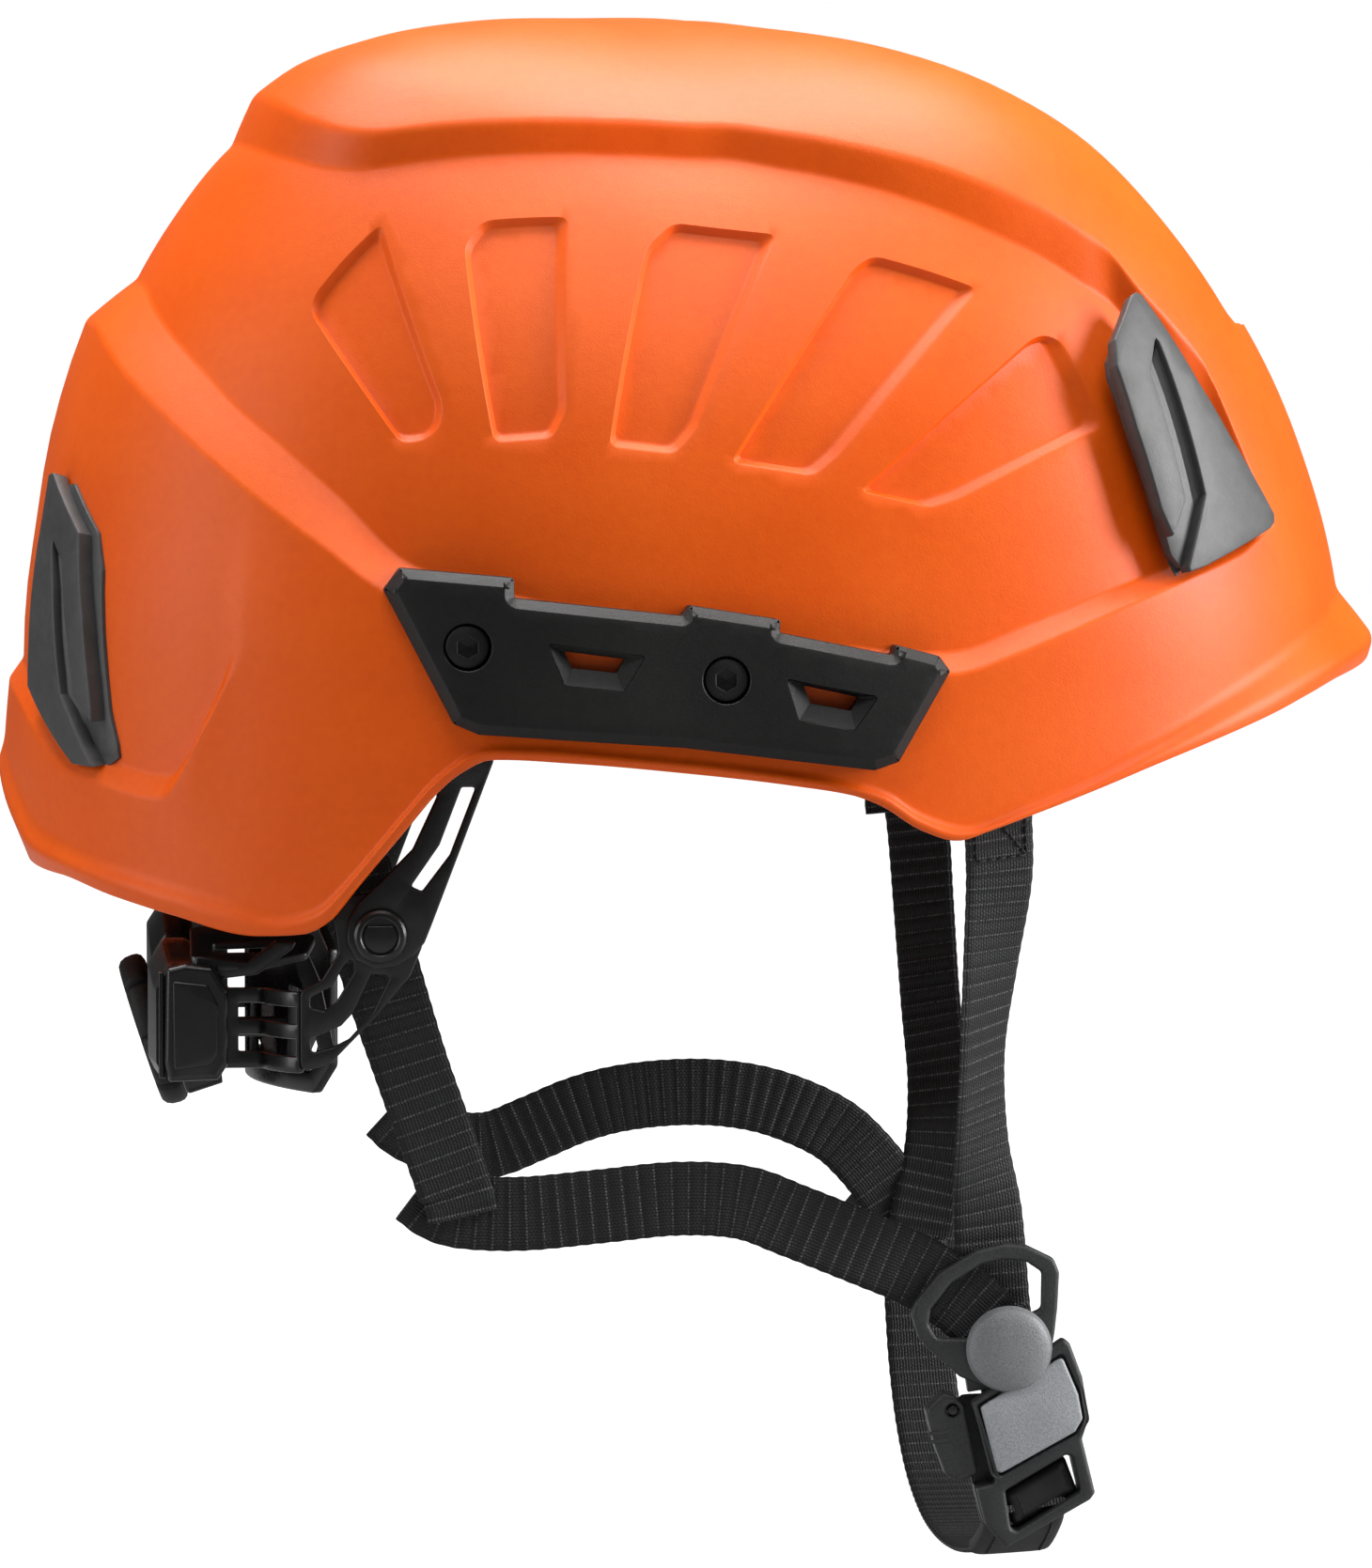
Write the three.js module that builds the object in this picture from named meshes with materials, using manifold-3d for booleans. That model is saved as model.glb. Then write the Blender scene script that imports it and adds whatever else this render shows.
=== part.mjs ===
// Climbing helmet: moulded shell with a foam liner, side accessory rails, lamp clips, an
// adjustable nape cradle with two racks and a pinion, a webbing harness and a release buckle.
// Millimetres, +Z up, +X forward, wearer's right is -Y.
// The origin is the centre of the crown pad's flat underside.
// Paired pieces are modelled on the wearer's right and mirrored to the left.
import * as THREE from 'three';
import { mergeVertices } from 'three/addons/utils/BufferGeometryUtils.js';
import Module from 'manifold-3d';

const wasm = await Module();
wasm.setup();

// ---------------------------------------------------------------- driving dimensions
const DOME_Z = -94;            // centre of the polar description of the dome
const CROWN_R = 129.8;         // radius of the base dome at the crown
const CROWN_LEVEL = 5;         // shell surface over the base dome at the crown
const SHELL_T = 3.6;           // shell wall
const LINER_GAP = 1.0;         // shell to liner
const LINER_T = 19;            // liner thickness
const LINER_LOW = 4;           // elevation of the liner's lower edge, degrees
const PANEL_D = 1.8;           // depth of the recessed side panels below the base dome
const FIT_GAP = 0.45;          // shell to the rails and clips standing on it
const POWER = 2.3;             // squareness of the plan section
const PAD_TOP_GAP = 0.9;       // liner to crown pad
const WEB_T = 1.5;             // webbing thickness
const PIVOT = [-68.5, -146.05]; // cradle pivot, x and z
const DIAL_C = [-108.5, 0, -171]; // centre of the dial's hub
const DIAL_TILT = 18;          // dial axis below horizontal, degrees
const PITCH_R = 3.2;           // pinion pitch radius
const TEETH = 8;

const DEG = Math.PI / 180;
const SIDES = [1, -1];

const MATERIALS = {
  shell: { color: 0xf56309, roughness: 0.5 },
  foam: { color: 0x3a3b3d, roughness: 0.9 },
  pad: { color: 0x2b2c2e, roughness: 0.95 },
  rail: { color: 0x191817, roughness: 0.55 },
  nylon: { color: 0x161617, roughness: 0.3 },
  clip: { color: 0x2f2e2f, roughness: 0.5 },
  steel: { color: 0x8b8d90, roughness: 0.3, metalness: 1 },
  web: { color: 0x58595b, roughness: 0.95 },
  grey: { color: 0x818487, roughness: 0.55 },
  band: { color: 0x2a2a2b, roughness: 0.45 },
};

// ---------------------------------------------------------------- interpolation
const lerp = (from, to, t) => from + (to - from) * t;

function smoothstep(value) {
  const t = Math.min(Math.max(value, 0), 1);
  return t * t * (3 - 2 * t);
}

// monotone cubic through [x, y] points, held constant beyond both ends
function curve(points) {
  const xs = points.map(p => p[0]);
  const ys = points.map(p => p[1]);
  const last = points.length - 1;
  const steps = [];
  const slopes = [];
  for (let i = 0; i < last; i++) {
    steps.push(xs[i + 1] - xs[i]);
    slopes.push((ys[i + 1] - ys[i]) / steps[i]);
  }
  const tangents = new Array(last + 1).fill(0);
  for (let i = 1; i < last; i++) {
    if (slopes[i - 1] * slopes[i] <= 0) continue;
    const before = 2 * steps[i] + steps[i - 1];
    const after = steps[i] + 2 * steps[i - 1];
    tangents[i] = (before + after) / (before / slopes[i - 1] + after / slopes[i]);
  }
  tangents[0] = slopes[0];
  tangents[last] = slopes[last - 1];
  return value => {
    const x = Math.min(Math.max(value, xs[0]), xs[last]);
    let i = 0;
    while (i < last - 1 && x > xs[i + 1]) i++;
    const t = (x - xs[i]) / steps[i];
    const t2 = t * t;
    const t3 = t2 * t;
    return (2 * t3 - 3 * t2 + 1) * ys[i] + (t3 - 2 * t2 + t) * steps[i] * tangents[i]
      + (-2 * t3 + 3 * t2) * ys[i + 1] + (t3 - t2) * steps[i] * tangents[i + 1];
  };
}

// ---------------------------------------------------------------- dome tables
// [elevation in degrees, radius of the base dome] forwards, backwards and sideways
const FRONT_R = curve([
  [-40, 172], [-30, 153], [-20, 142], [-10, 136], [0, 134], [10, 132.8], [20, 132], [30, 132],
  [40, 132], [50, 132.3], [60, 131], [70, 129.5], [80, 128.8], [90, CROWN_R]]);
const BACK_R = curve([
  [-40, 172], [-30, 153], [-20, 140.5], [-10, 135.5], [0, 134.2], [10, 134.3], [20, 136.6],
  [30, 139.6], [40, 142.5], [48, 144.4], [55, 144.6], [62, 141.5], [70, 136.8], [80, 132],
  [90, CROWN_R]]);
const SIDE_R = curve([
  [-40, 133], [-30, 119], [-20, 110.5], [-10, 106], [0, 104], [10, 104.2], [20, 106.2],
  [30, 109.5], [40, 113.5], [50, 118], [60, 122.3], [70, 126], [80, 128.7], [90, CROWN_R]]);

// feature lines of the shell, top to bottom: [bearing from the front, elevation], degrees
const LINE = {
  stepTop: curve([
    [0, 16], [14, 15.2], [26, 13.4], [28, 13.1], [30.5, 20.1], [31.9, 27.2], [34.8, 31.8],
    [37.4, 35.6], [38.6, 38.9], [41.3, 41.5], [44.8, 44.2], [51.2, 47.8], [57.5, 51.1],
    [65.9, 54.4], [75.9, 57.6], [89.3, 60], [99.6, 59.6], [110.4, 58], [118.6, 56.1], [126, 54],
    [130.5, 52.6], [134.8, 51.1], [137.9, 50.1], [140.6, 49.6], [143.5, 49.4], [148.6, 49.7],
    [155.7, 50.5], [166, 51.7], [180, 52.4]]),
  stepFoot: curve([
    [0, 15.2], [14, 14.6], [26, 13.1], [28, 12.9], [30.5, 16.2], [31.9, 21], [34.8, 28],
    [37.4, 33.2], [38.6, 35.2], [41.9, 37.8], [45.4, 40.7], [51.7, 44.7], [57.9, 48.3],
    [66.1, 52.1], [76.1, 55.5], [89.4, 58.2], [99.5, 57.8], [110.4, 56.3], [117.3, 54.8],
    [123.3, 53.2], [129.5, 51.3], [134.4, 49.6], [137.2, 48.6], [139.7, 47.8], [142.5, 47.3],
    [146.2, 47], [153.1, 47.1], [168.2, 48], [180, 48.3]]),
  recessFoot: curve([
    [0, 12.8], [14, 12.7], [26, 12.55], [28, 12.5], [34, 11], [41.8, 9.5], [48.4, 7.8],
    [56.9, 5.1], [66.5, 2.2], [80, 3.2], [95, 5], [110, 7.6], [123.2, 10.8], [131.4, 17.1],
    [138.1, 21.2], [144.3, 24.3], [149.6, 27], [156.6, 29.9], [161.1, 31.6], [167.2, 33.6],
    [180, 34.6]]),
  bandTop: curve([
    [0, 12], [14, 12], [26, 12.1], [28, 12.1], [34, 10.2], [41.2, 8.3], [48.6, 6.1], [54.9, 3.9],
    [60.6, 1.9], [66.9, 0.1], [80, 0.9], [95, 2.5], [110, 4.8], [124, 7.8], [129.9, 11.3],
    [134.9, 14.1], [140.1, 16.9], [146, 20], [151.1, 22.5], [157.6, 25.2], [162.5, 27.1],
    [169, 28.9], [180, 29.5]]),
  ledge: curve([
    [0, 8.5], [14, 8], [28, 4.5], [40, 1], [50, -2], [66, -7], [80, -4.6], [100, -2.8],
    [118, -1.6], [130, -0.6], [137.4, 0.6], [140.8, -4.6], [143.6, -9.2], [145.4, -10.6],
    [155.1, -8.9], [160.1, -7.9], [163.2, -6], [171.6, -2.5], [180, -1.5]]),
  brimTop: curve([
    [0, 6.5], [10.3, 6], [20.8, 3.6], [26.8, 1.9], [32.7, -0.2], [38.2, -2.5], [42.5, -4.5],
    [48, -7.1], [53.8, -10.1], [59.7, -12.6], [65.9, -14.8], [70.5, -13.6], [74, -11.6],
    [78, -10.6], [90, -8.9], [100, -7.8], [110, -6.8], [114, -6.7], [118.4, -9.1],
    [121.5, -12.2], [124.7, -15.6], [127.9, -18.7], [130.2, -20.3], [133.2, -20.8],
    [138.2, -19.4], [144, -17.8], [152, -16], [161.1, -14.2], [165.9, -13.1], [170.2, -10.6],
    [180, -6.6]]),
  brimEdge: curve([
    [0, 0.75], [9.4, 0.1], [22, -1.1], [28, -2.4], [32.5, -3.7], [39.9, -6], [46.2, -8.2],
    [52.1, -10.5], [57.7, -12.7], [63.3, -14.8], [67, -16], [70.3, -15.2], [74.6, -12.9],
    [77.4, -12], [83.1, -11.2], [94.5, -9.9], [105.6, -8.7], [113.7, -8.1], [116.4, -9.2],
    [119.1, -11.3], [121.8, -14.2], [124.6, -17.1], [127.3, -19.8], [129.2, -21.6],
    [131.4, -22.3], [135.7, -22.1], [144.5, -20], [151.3, -18.5], [160.2, -16.9], [170, -16.6],
    [180, -16.6]]),
};
// place of the brim's crest between its top and its edge: [bearing, fraction]
const CREST_FRACTION = curve([
  [0, 0.75], [30, 0.6], [60, 0.42], [120, 0.35], [160, 0.35], [180, 0.2]]);
// finished surface over the base dome: [bearing, mm]
const LEVEL = {
  bandTop: curve([[0, 5], [60, 5], [110, 5.4], [140, 6], [180, 6]]),
  brimTop: curve([[0, 5], [60, 5], [90, 6], [120, 7], [143, 9], [166, 9.5], [180, 10.4]]),
  brimCrest: curve([
    [0, 11.9], [15, 11.3], [30, 9.3], [45, 7.9], [60, 7], [90, 7.2], [120, 8.5], [143, 10.7],
    [166, 11.5], [180, 12.3]]),
  brimEdge: curve([
    [0, 10.4], [30, 8.8], [60, 6.5], [90, 6.5], [120, 8], [143, 10], [160, 9.5], [170, 8],
    [180, 6]]),
};
// bearings of the dome's mesh columns, half way round and then back along the other side
const HALF_BEARINGS = [
  0, 8, 16, 23, 28, 30.5, 32.3, 34.8, 37.4, 38.8, 41.5, 45, 49, 53.5, 58, 62.5, 67, 71, 75, 80,
  85.5, 91, 96.5, 102, 108, 114, 117.5, 121.5, 125.5, 129, 132.5, 137.4, 140.8, 144, 149, 154,
  159, 163.2, 168, 174, 180];
const BEARINGS = [...HALF_BEARINGS, ...HALF_BEARINGS.slice(1, -1).reverse().map(b => -b)];

// ---------------------------------------------------------------- dome surface
// point at a bearing and elevation in degrees, a level over the base dome
function onDome(bearing, elevation, level) {
  const cos = Math.cos(bearing * DEG);
  const sin = Math.sin(bearing * DEG);
  const lengthR = cos > 0 ? FRONT_R(elevation) : BACK_R(elevation);
  // the plan section turns round again at the crown
  const power = 2 + (POWER - 2) * (1 - smoothstep((elevation - 55) / 30));
  const sum = Math.pow(Math.abs(cos / lengthR), power)
    + Math.pow(Math.abs(sin / SIDE_R(elevation)), power);
  const r = Math.pow(sum, -1 / power) + level;
  const flat = r * Math.cos(elevation * DEG);
  return [flat * cos, flat * sin, r * Math.sin(elevation * DEG) + DOME_Z];
}

// rows of the shell from the crown to the rim, as [elevation, level] for one bearing
function shellRows(bearing) {
  const at = {};
  for (const name in LINE) at[name] = LINE[name](bearing);
  const level = {};
  for (const name in LEVEL) level[name] = LEVEL[name](bearing);
  const ledgeTop = at.ledge + 1.7;
  const recess = CROWN_LEVEL * (1 - smoothstep((bearing - 28) / 3)); // none at the front
  const swell = smoothstep((bearing - 100) / 40); // the ledge grows towards the back
  const ledgeTopLevel = level.bandTop + swell * (1 - smoothstep((bearing - 137.4) / 3));
  const ledgeLevel = level.bandTop
    + (bearing < 137.4 ? swell : 1 + 2 * smoothstep((bearing - 137.4) / 6));
  const between = [0.2, 0.4, 0.6, 0.8];
  return [
    ...between.map(t => [lerp(90, at.stepTop, t), CROWN_LEVEL]),
    [at.stepTop, CROWN_LEVEL],
    [at.stepFoot, recess],
    ...between.map(t => [lerp(at.stepFoot, at.recessFoot, t), recess]),
    [at.recessFoot, recess],
    [at.bandTop, level.bandTop],
    [(at.bandTop + ledgeTop) / 2, (level.bandTop + ledgeTopLevel) / 2],
    [ledgeTop, ledgeTopLevel],
    [at.ledge, ledgeLevel],
    [(at.ledge + at.brimTop) / 2, (ledgeLevel + level.brimTop) / 2],
    [at.brimTop, level.brimTop],
    [lerp(at.brimTop, at.brimEdge, CREST_FRACTION(bearing)), level.brimCrest],
    [at.brimEdge, level.brimEdge],
  ];
}

// ---------------------------------------------------------------- mesh helpers
function fromArrays(positions, index) {
  const geometry = new THREE.BufferGeometry();
  geometry.setAttribute('position', new THREE.BufferAttribute(new Float32Array(positions), 3));
  geometry.setIndex(index);
  return geometry;
}

// bare positions with coincident vertices joined
function welded(geometry) {
  const bare = geometry.clone();
  bare.deleteAttribute('normal');
  bare.deleteAttribute('uv');
  return mergeVertices(bare, 1e-4);
}

function solidOf(geometry) {
  const { attributes, index } = welded(geometry);
  return new wasm.Manifold(new wasm.Mesh({
    numProp: 3,
    vertProperties: Float32Array.from(attributes.position.array),
    triVerts: Uint32Array.from(index.array),
  }));
}

function geometryOf(solid) {
  const mesh = solid.getMesh();
  const index = new THREE.BufferAttribute(Uint32Array.from(mesh.triVerts), 1);
  return fromArrays(mesh.vertProperties, index);
}

// the largest separate body of a solid
function largest(solid) {
  return solid.decompose().sort((a, b) => b.volume() - a.volume())[0];
}

// turns every triangle of an index over, in place
function flipWinding(index) {
  for (let i = 0; i < index.length; i += 3) {
    [index[i + 1], index[i + 2]] = [index[i + 2], index[i + 1]];
  }
  return index;
}

// makes the enclosed volume positive
function facingOut(geometry) {
  const index = geometry.index.array;
  const corner = i => new THREE.Vector3().fromBufferAttribute(
    geometry.attributes.position, index[i]);
  let volume = 0;
  for (let i = 0; i < index.length; i += 3) {
    volume += corner(i).dot(corner(i + 1).cross(corner(i + 2)));
  }
  if (volume < 0) flipWinding(index);
  return geometry;
}

// the same piece on the other side of the XZ plane
function mirrored(geometry) {
  const copy = geometry.clone().scale(1, -1, 1);
  const result = copy.index ? copy : welded(copy);
  flipWinding(result.index.array);
  return result;
}

// closed body through a row of four-cornered sections
function loft(sections) {
  const index = [];
  const end = 4 * (sections.length - 1);
  for (let start = 0; start < end; start += 4) {
    for (let k = 0; k < 4; k++) {
      const a = start + k;
      const b = start + (k + 1) % 4;
      index.push(a, a + 4, b + 4, a, b + 4, b);
    }
  }
  index.push(0, 1, 2, 0, 2, 3);
  index.push(end, end + 2, end + 1, end, end + 3, end + 2);
  return facingOut(fromArrays(sections.flat(2), index));
}

// webbing along stations of [centre x, y, z, half-width vector x, y, z]
function ribbon(stations, thickness = WEB_T) {
  const centres = stations.map(([x, y, z]) => new THREE.Vector3(x, y, z));
  const last = stations.length - 1;
  return loft(stations.map((station, i) => {
    const tangent = centres[Math.min(i + 1, last)].clone()
      .sub(centres[Math.max(i - 1, 0)]).normalize();
    const across = new THREE.Vector3(...station.slice(3));
    const halfWidth = across.length();
    across.addScaledVector(tangent, -across.dot(tangent)).setLength(halfWidth);
    const normal = new THREE.Vector3().crossVectors(tangent, across).setLength(thickness / 2);
    return [[-1, -1], [1, -1], [1, 1], [-1, 1]].map(([side, face]) => centres[i].clone()
      .addScaledVector(across, side).addScaledVector(normal, face).toArray());
  }));
}

function signedArea(outline) {
  let sum = 0;
  outline.forEach((p, i) => {
    const next = outline[(i + 1) % outline.length];
    sum += p[0] * next[1] - next[0] * p[1];
  });
  return sum / 2;
}

// prism along Z; the outline is made anticlockwise and its holes clockwise
function extrude(outline, start, length, holes = [], bevel = 0) {
  const turned = (points, sign) => (sign * signedArea(points) > 0 ? points : [...points].reverse())
    .map(([x, y]) => new THREE.Vector2(x, y));
  const shape = new THREE.Shape(turned(outline, 1));
  for (const hole of holes) shape.holes.push(new THREE.Path(turned(hole, -1)));
  const geometry = new THREE.ExtrudeGeometry(shape, {
    depth: length - 2 * bevel,
    steps: 1,
    bevelEnabled: bevel > 0,
    bevelThickness: bevel,
    bevelSize: bevel,
    bevelOffset: -bevel,
    bevelSegments: 1,
  });
  return geometry.translate(0, 0, start + bevel);
}

// plate drawn in the XZ plane, between two values of y
function plate(outline, y0, y1, holes = [], bevel = 0) {
  return extrude(outline, 0, Math.abs(y1 - y0), holes, bevel)
    .rotateX(Math.PI / 2)
    .translate(0, Math.max(y0, y1), 0);
}

const plateSolid = (...args) => solidOf(plate(...args));

function circle(x, z, radius, segments) {
  return Array.from({ length: segments }, (_, i) => {
    const angle = i / segments * 2 * Math.PI;
    return [x + radius * Math.cos(angle), z + radius * Math.sin(angle)];
  });
}

// cylinder along a unit axis from a base point
function rod(base, axis, length, radius, segments = 24) {
  const turn = new THREE.Quaternion().setFromUnitVectors(
    new THREE.Vector3(0, 1, 0), new THREE.Vector3(...axis));
  return new THREE.CylinderGeometry(radius, radius, length, segments, 1)
    .translate(0, length / 2, 0)
    .applyQuaternion(turn)
    .translate(...base);
}

// box over [low, high] ranges
function box([x0, x1], [y0, y1], [z0, z1]) {
  return new THREE.BoxGeometry(x1 - x0, y1 - y0, z1 - z0)
    .translate((x0 + x1) / 2, (y0 + y1) / 2, (z0 + z1) / 2);
}

const boxSolid = (...ranges) => solidOf(box(...ranges));
const span = (centre, half) => [centre - half, centre + half];

// body of revolution of [radius, height]; its axis, Y, is turned about X and then placed
function lathe(profile, segments, turn, place = [0, 0, 0]) {
  const points = profile.map(([radius, height]) => new THREE.Vector2(radius, height));
  const geometry = new THREE.LatheGeometry(points, segments).rotateX(turn).translate(...place);
  return facingOut(welded(geometry));
}

// ---------------------------------------------------------------- bodies on the dome
function domePoints(rowsAt) {
  return BEARINGS.flatMap(bearing => rowsAt(Math.abs(bearing))
    .flatMap(([elevation, level]) => onDome(bearing, elevation, level)));
}

// faces between two mesh columns, given by their first vertices
function goreFaces(apex, left, right, rows) {
  const faces = [apex, left, right];
  for (let row = 0; row < rows - 1; row++) {
    const a = left + row;
    const b = right + row;
    faces.push(a, a + 1, b + 1, a, b + 1, b);
  }
  return faces;
}

// closed body between an outer and an inner skin
function hollowDome(outerAt, innerAt, outerCrown, innerCrown) {
  const outer = domePoints(outerAt);
  const inner = outer.length / 3; // first vertex of the inner skin
  const rows = inner / BEARINGS.length;
  const apex = 2 * inner;
  const positions = [
    ...outer, ...domePoints(innerAt), ...onDome(0, 90, outerCrown), ...onDome(0, 90, innerCrown)];
  const index = [];
  BEARINGS.forEach((_, column) => {
    const left = column * rows;
    const right = (column + 1) % BEARINGS.length * rows;
    index.push(...goreFaces(apex, left, right, rows));
    index.push(...flipWinding(goreFaces(apex + 1, inner + left, inner + right, rows)));
    const a = left + rows - 1;
    const b = right + rows - 1;
    index.push(a, inner + a, inner + b, a, inner + b, b); // rim
  });
  return solidOf(fromArrays(positions, index));
}

// full dome from the crown down to the rim, closed below by a shallow cone
function fullDome(rowsAt, crown) {
  const points = domePoints(rowsAt);
  const apex = points.length / 3;
  const rows = apex / BEARINGS.length;
  const index = [];
  BEARINGS.forEach((_, column) => {
    const left = column * rows;
    const right = (column + 1) % BEARINGS.length * rows;
    index.push(...goreFaces(apex, left, right, rows));
    index.push(apex + 1, right + rows - 1, left + rows - 1);
  });
  const positions = [...points, ...onDome(0, 90, crown), 0, 0, DOME_Z - 20];
  return solidOf(fromArrays(positions, index));
}

// everything under one level
function domeUnder(level) {
  const rows = [];
  for (let elevation = 84; elevation >= -24; elevation -= 6) rows.push([elevation, level]);
  return fullDome(() => rows, level);
}

// radial prism between two levels over an outline of [bearing, elevation]
function radialPrism(outline, low, high) {
  const count = outline.length;
  const mean = k => outline.reduce((sum, p) => sum + p[k], 0) / count;
  const ring = [...outline, [mean(0), mean(1)]];
  const positions = [low, high].flatMap(level => ring.flatMap(([b, e]) => onDome(b, e, level)));
  const top = count + 1; // first vertex of the high ring
  const index = [];
  for (let i = 0; i < count; i++) {
    const j = (i + 1) % count;
    index.push(top + count, top + i, top + j, count, j, i);
    index.push(i, j, top + j, i, top + j, top + i);
  }
  if (signedArea(outline) < 0) flipWinding(index);
  return solidOf(fromArrays(positions, index));
}

// strip that follows the inside of the dome across the forehead
function domeStrip({ halfArc, steps, elevations: [low, high], levels: [inner, outer] }) {
  const corners = [[low, outer], [high, outer], [high, inner], [low, inner]];
  const sections = [];
  for (let i = 0; i <= steps; i++) {
    const bearing = -halfArc + 2 * halfArc * i / steps;
    sections.push(corners.map(([elevation, level]) => onDome(bearing, elevation, level)));
  }
  return loft(sections);
}

// ---------------------------------------------------------------- rail and its screws
// outlines as [x, z]
const RAIL = [
  [-67.95, -76.96], [-64.63, -72.73], [-42.34, -74.61], [-42.35, -78.3], [-41.61, -78.67],
  [-9.45, -82.06], [-7.78, -80.03], [10.02, -82.84], [9.83, -85.43], [32.33, -89.93],
  [32.89, -87.89], [41.64, -90.14], [43.88, -93.11], [33.29, -110.87], [28.45, -112.52],
  [-9.45, -107.93], [-49.58, -105.38], [-54.37, -103.34], [-55.11, -101.86]];
const RAIL_WINDOWS = [
  [[-32.82, -88.98], [-20.81, -90.49], [-22.48, -93.25], [-31.16, -92.3]],
  [[14.39, -95.76], [25.54, -98.2], [23.68, -100.79], [15.69, -99.28]],
];
const RAIL_X = [-72, -62, -52, -42, -32, -20, 20, 28, 36, 46]; // stations of the rail's face
const RAIL_FLAT = 20;        // half length of the flat middle facet
const RAIL_LEAN = 4.4 / 36;  // the wall leans in by this much per mm of height
const RAIL_Z0 = -95;         // height at which the lean is zero
const RAIL_STOCK = 9;        // slab depth before the shell is cut away

// outer face of the right rail
function railFaceY(x, z) {
  const station = Math.abs(x) <= RAIL_FLAT ? RAIL_FLAT : x;
  const reach = Math.abs(station);
  const ratio = reach / (station < 0 ? 136 : 134);
  return -115.6 * Math.pow(1 - Math.pow(ratio, POWER), 1 / POWER) + 0.9
    - 1.2 * smoothstep((reach - 25) / 45) + RAIL_LEAN * (z - RAIL_Z0);
}

// where the screws meet the right rail's face
const SCREWS = { rear: [-51.58, -88.23], front: [-0.92, -94.64] };
const SCREW_POINTS = Object.values(SCREWS).map(([x, z]) => [x, railFaceY(x, z), z]);

// rod running outwards from a depth behind the rail's face; side 1 is right, -1 left
function screwRod([x, y, z], depth, length, radius, segments, side = 1) {
  return solidOf(rod([x, side * (y + depth), z], [0, -side, 0], length, radius, segments));
}

const shellKeepout = fullDome(
  bearing => shellRows(bearing).map(([elevation, level]) => [elevation, level + FIT_GAP]),
  CROWN_LEVEL + FIT_GAP);

function accessoryRail() {
  const corners = [[0, -120], [0, -66], [RAIL_STOCK, -66], [RAIL_STOCK, -120]];
  const slab = loft(RAIL_X.map(x => corners.map(([depth, z]) => [x, railFaceY(x, z) + depth, z])));
  let rail = solidOf(slab).intersect(plateSolid(RAIL, -130, -80, RAIL_WINDOWS));
  for (const point of SCREW_POINTS) {
    rail = rail
      .subtract(screwRod(point, 2.6, 12, 4.7)) // head recess
      .subtract(screwRod(point, 14, 20, 2.2, 16)); // shank hole
  }
  return geometryOf(largest(rail.subtract(shellKeepout)));
}

function railScrew(point) {
  return geometryOf(screwRod(point, 2.3, 1.6, 4.3) // head
    .add(screwRod(point, 12.5, 10.6, 1.8, 16)) // shank
    .subtract(screwRod(point, 1.6, 6, 2.1, 6))); // hexagon socket
}

// flanged sleeve through the shell wall
function railInsert(point) {
  return geometryOf(screwRod(point, 14, 7.2, 2.6, 16)
    .add(screwRod(point, 14, 1.2, 4.2, 20)) // flange
    .subtract(screwRod(point, 16, 12, 2.1, 16))); // bore
}

// ---------------------------------------------------------------- shell and lamp clips
// outlines as [bearing, elevation] in degrees, panels from back to front
const PANELS = [
  [[134.04, 43.24], [121.63, 26.9], [121.61, 24.59], [123.28, 23.01], [125.58, 22.57],
    [138.3, 33.39], [138.65, 35.04], [136.61, 39.15]],
  [[122.11, 45.78], [111.27, 48.34], [108.1, 27.89], [109.52, 24.65], [115.87, 23.6],
    [123.38, 42.8]],
  [[96.34, 49.58], [80.93, 47.99], [92.95, 26.75], [95.69, 23.78], [103.32, 24.23],
    [100.11, 46.49]],
  [[68.58, 44.28], [56.12, 38.88], [76.66, 23.45], [79.74, 21.29], [89.4, 22.95],
    [71.56, 43.16]],
  [[51.77, 33.08], [49.8, 33.32], [47.85, 32.31], [45.81, 23.46], [63.91, 17.85],
    [66.98, 17.2], [74.85, 19.46]],
];
const FRONT_CLIP = [
  [40.11, 34.53], [38.85, 34.23], [37.4, 31.36], [35.32, 25.62], [33.06, 20.47], [31.07, 16.89],
  [29.14, 13.28], [29.9, 12.24], [39.91, 9.27], [42.75, 8.41], [44.08, 10.27], [44.85, 14.25],
  [46.11, 21.41], [46.82, 27.52], [46.36, 29.17], [42.73, 32.95]];
const REAR_CLIP = [
  [164.73, 15.41], [161.35, 16.11], [155.32, 11.84], [153.79, 8.53], [151.95, -3.34],
  [151, -6.12], [150.82, -7.05], [151.98, -8.07], [153.97, -8.03], [157.01, -7.48],
  [164.38, -2.07], [165.39, 1.39], [165.04, 6.37], [165.73, 11.35]];

function outerShell() {
  // the inner edge of the rim is raised by a quarter of a degree
  const innerRows = bearing => shellRows(bearing).map(([elevation, level], i, rows) => [
    i === rows.length - 1 ? elevation + 0.25 : elevation, level - SHELL_T]);
  let shell = hollowDome(shellRows, innerRows, CROWN_LEVEL, CROWN_LEVEL - SHELL_T);
  const floor = domeUnder(-PANEL_D);
  for (const panel of PANELS) {
    for (const side of SIDES) {
      const outline = panel.map(([bearing, elevation]) => [side * bearing, elevation]);
      shell = shell.subtract(radialPrism(outline, -14, 12).subtract(floor));
    }
  }
  for (const point of SCREW_POINTS) {
    for (const side of SIDES) shell = shell.subtract(screwRod(point, 26, 24, 2.9, 16, side));
  }
  return geometryOf(largest(shell));
}

// patch standing on the shell, up to a level
function lampClip(outline, level) {
  return geometryOf(largest(
    radialPrism(outline, -10, 20).intersect(domeUnder(level)).subtract(shellKeepout)));
}

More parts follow.
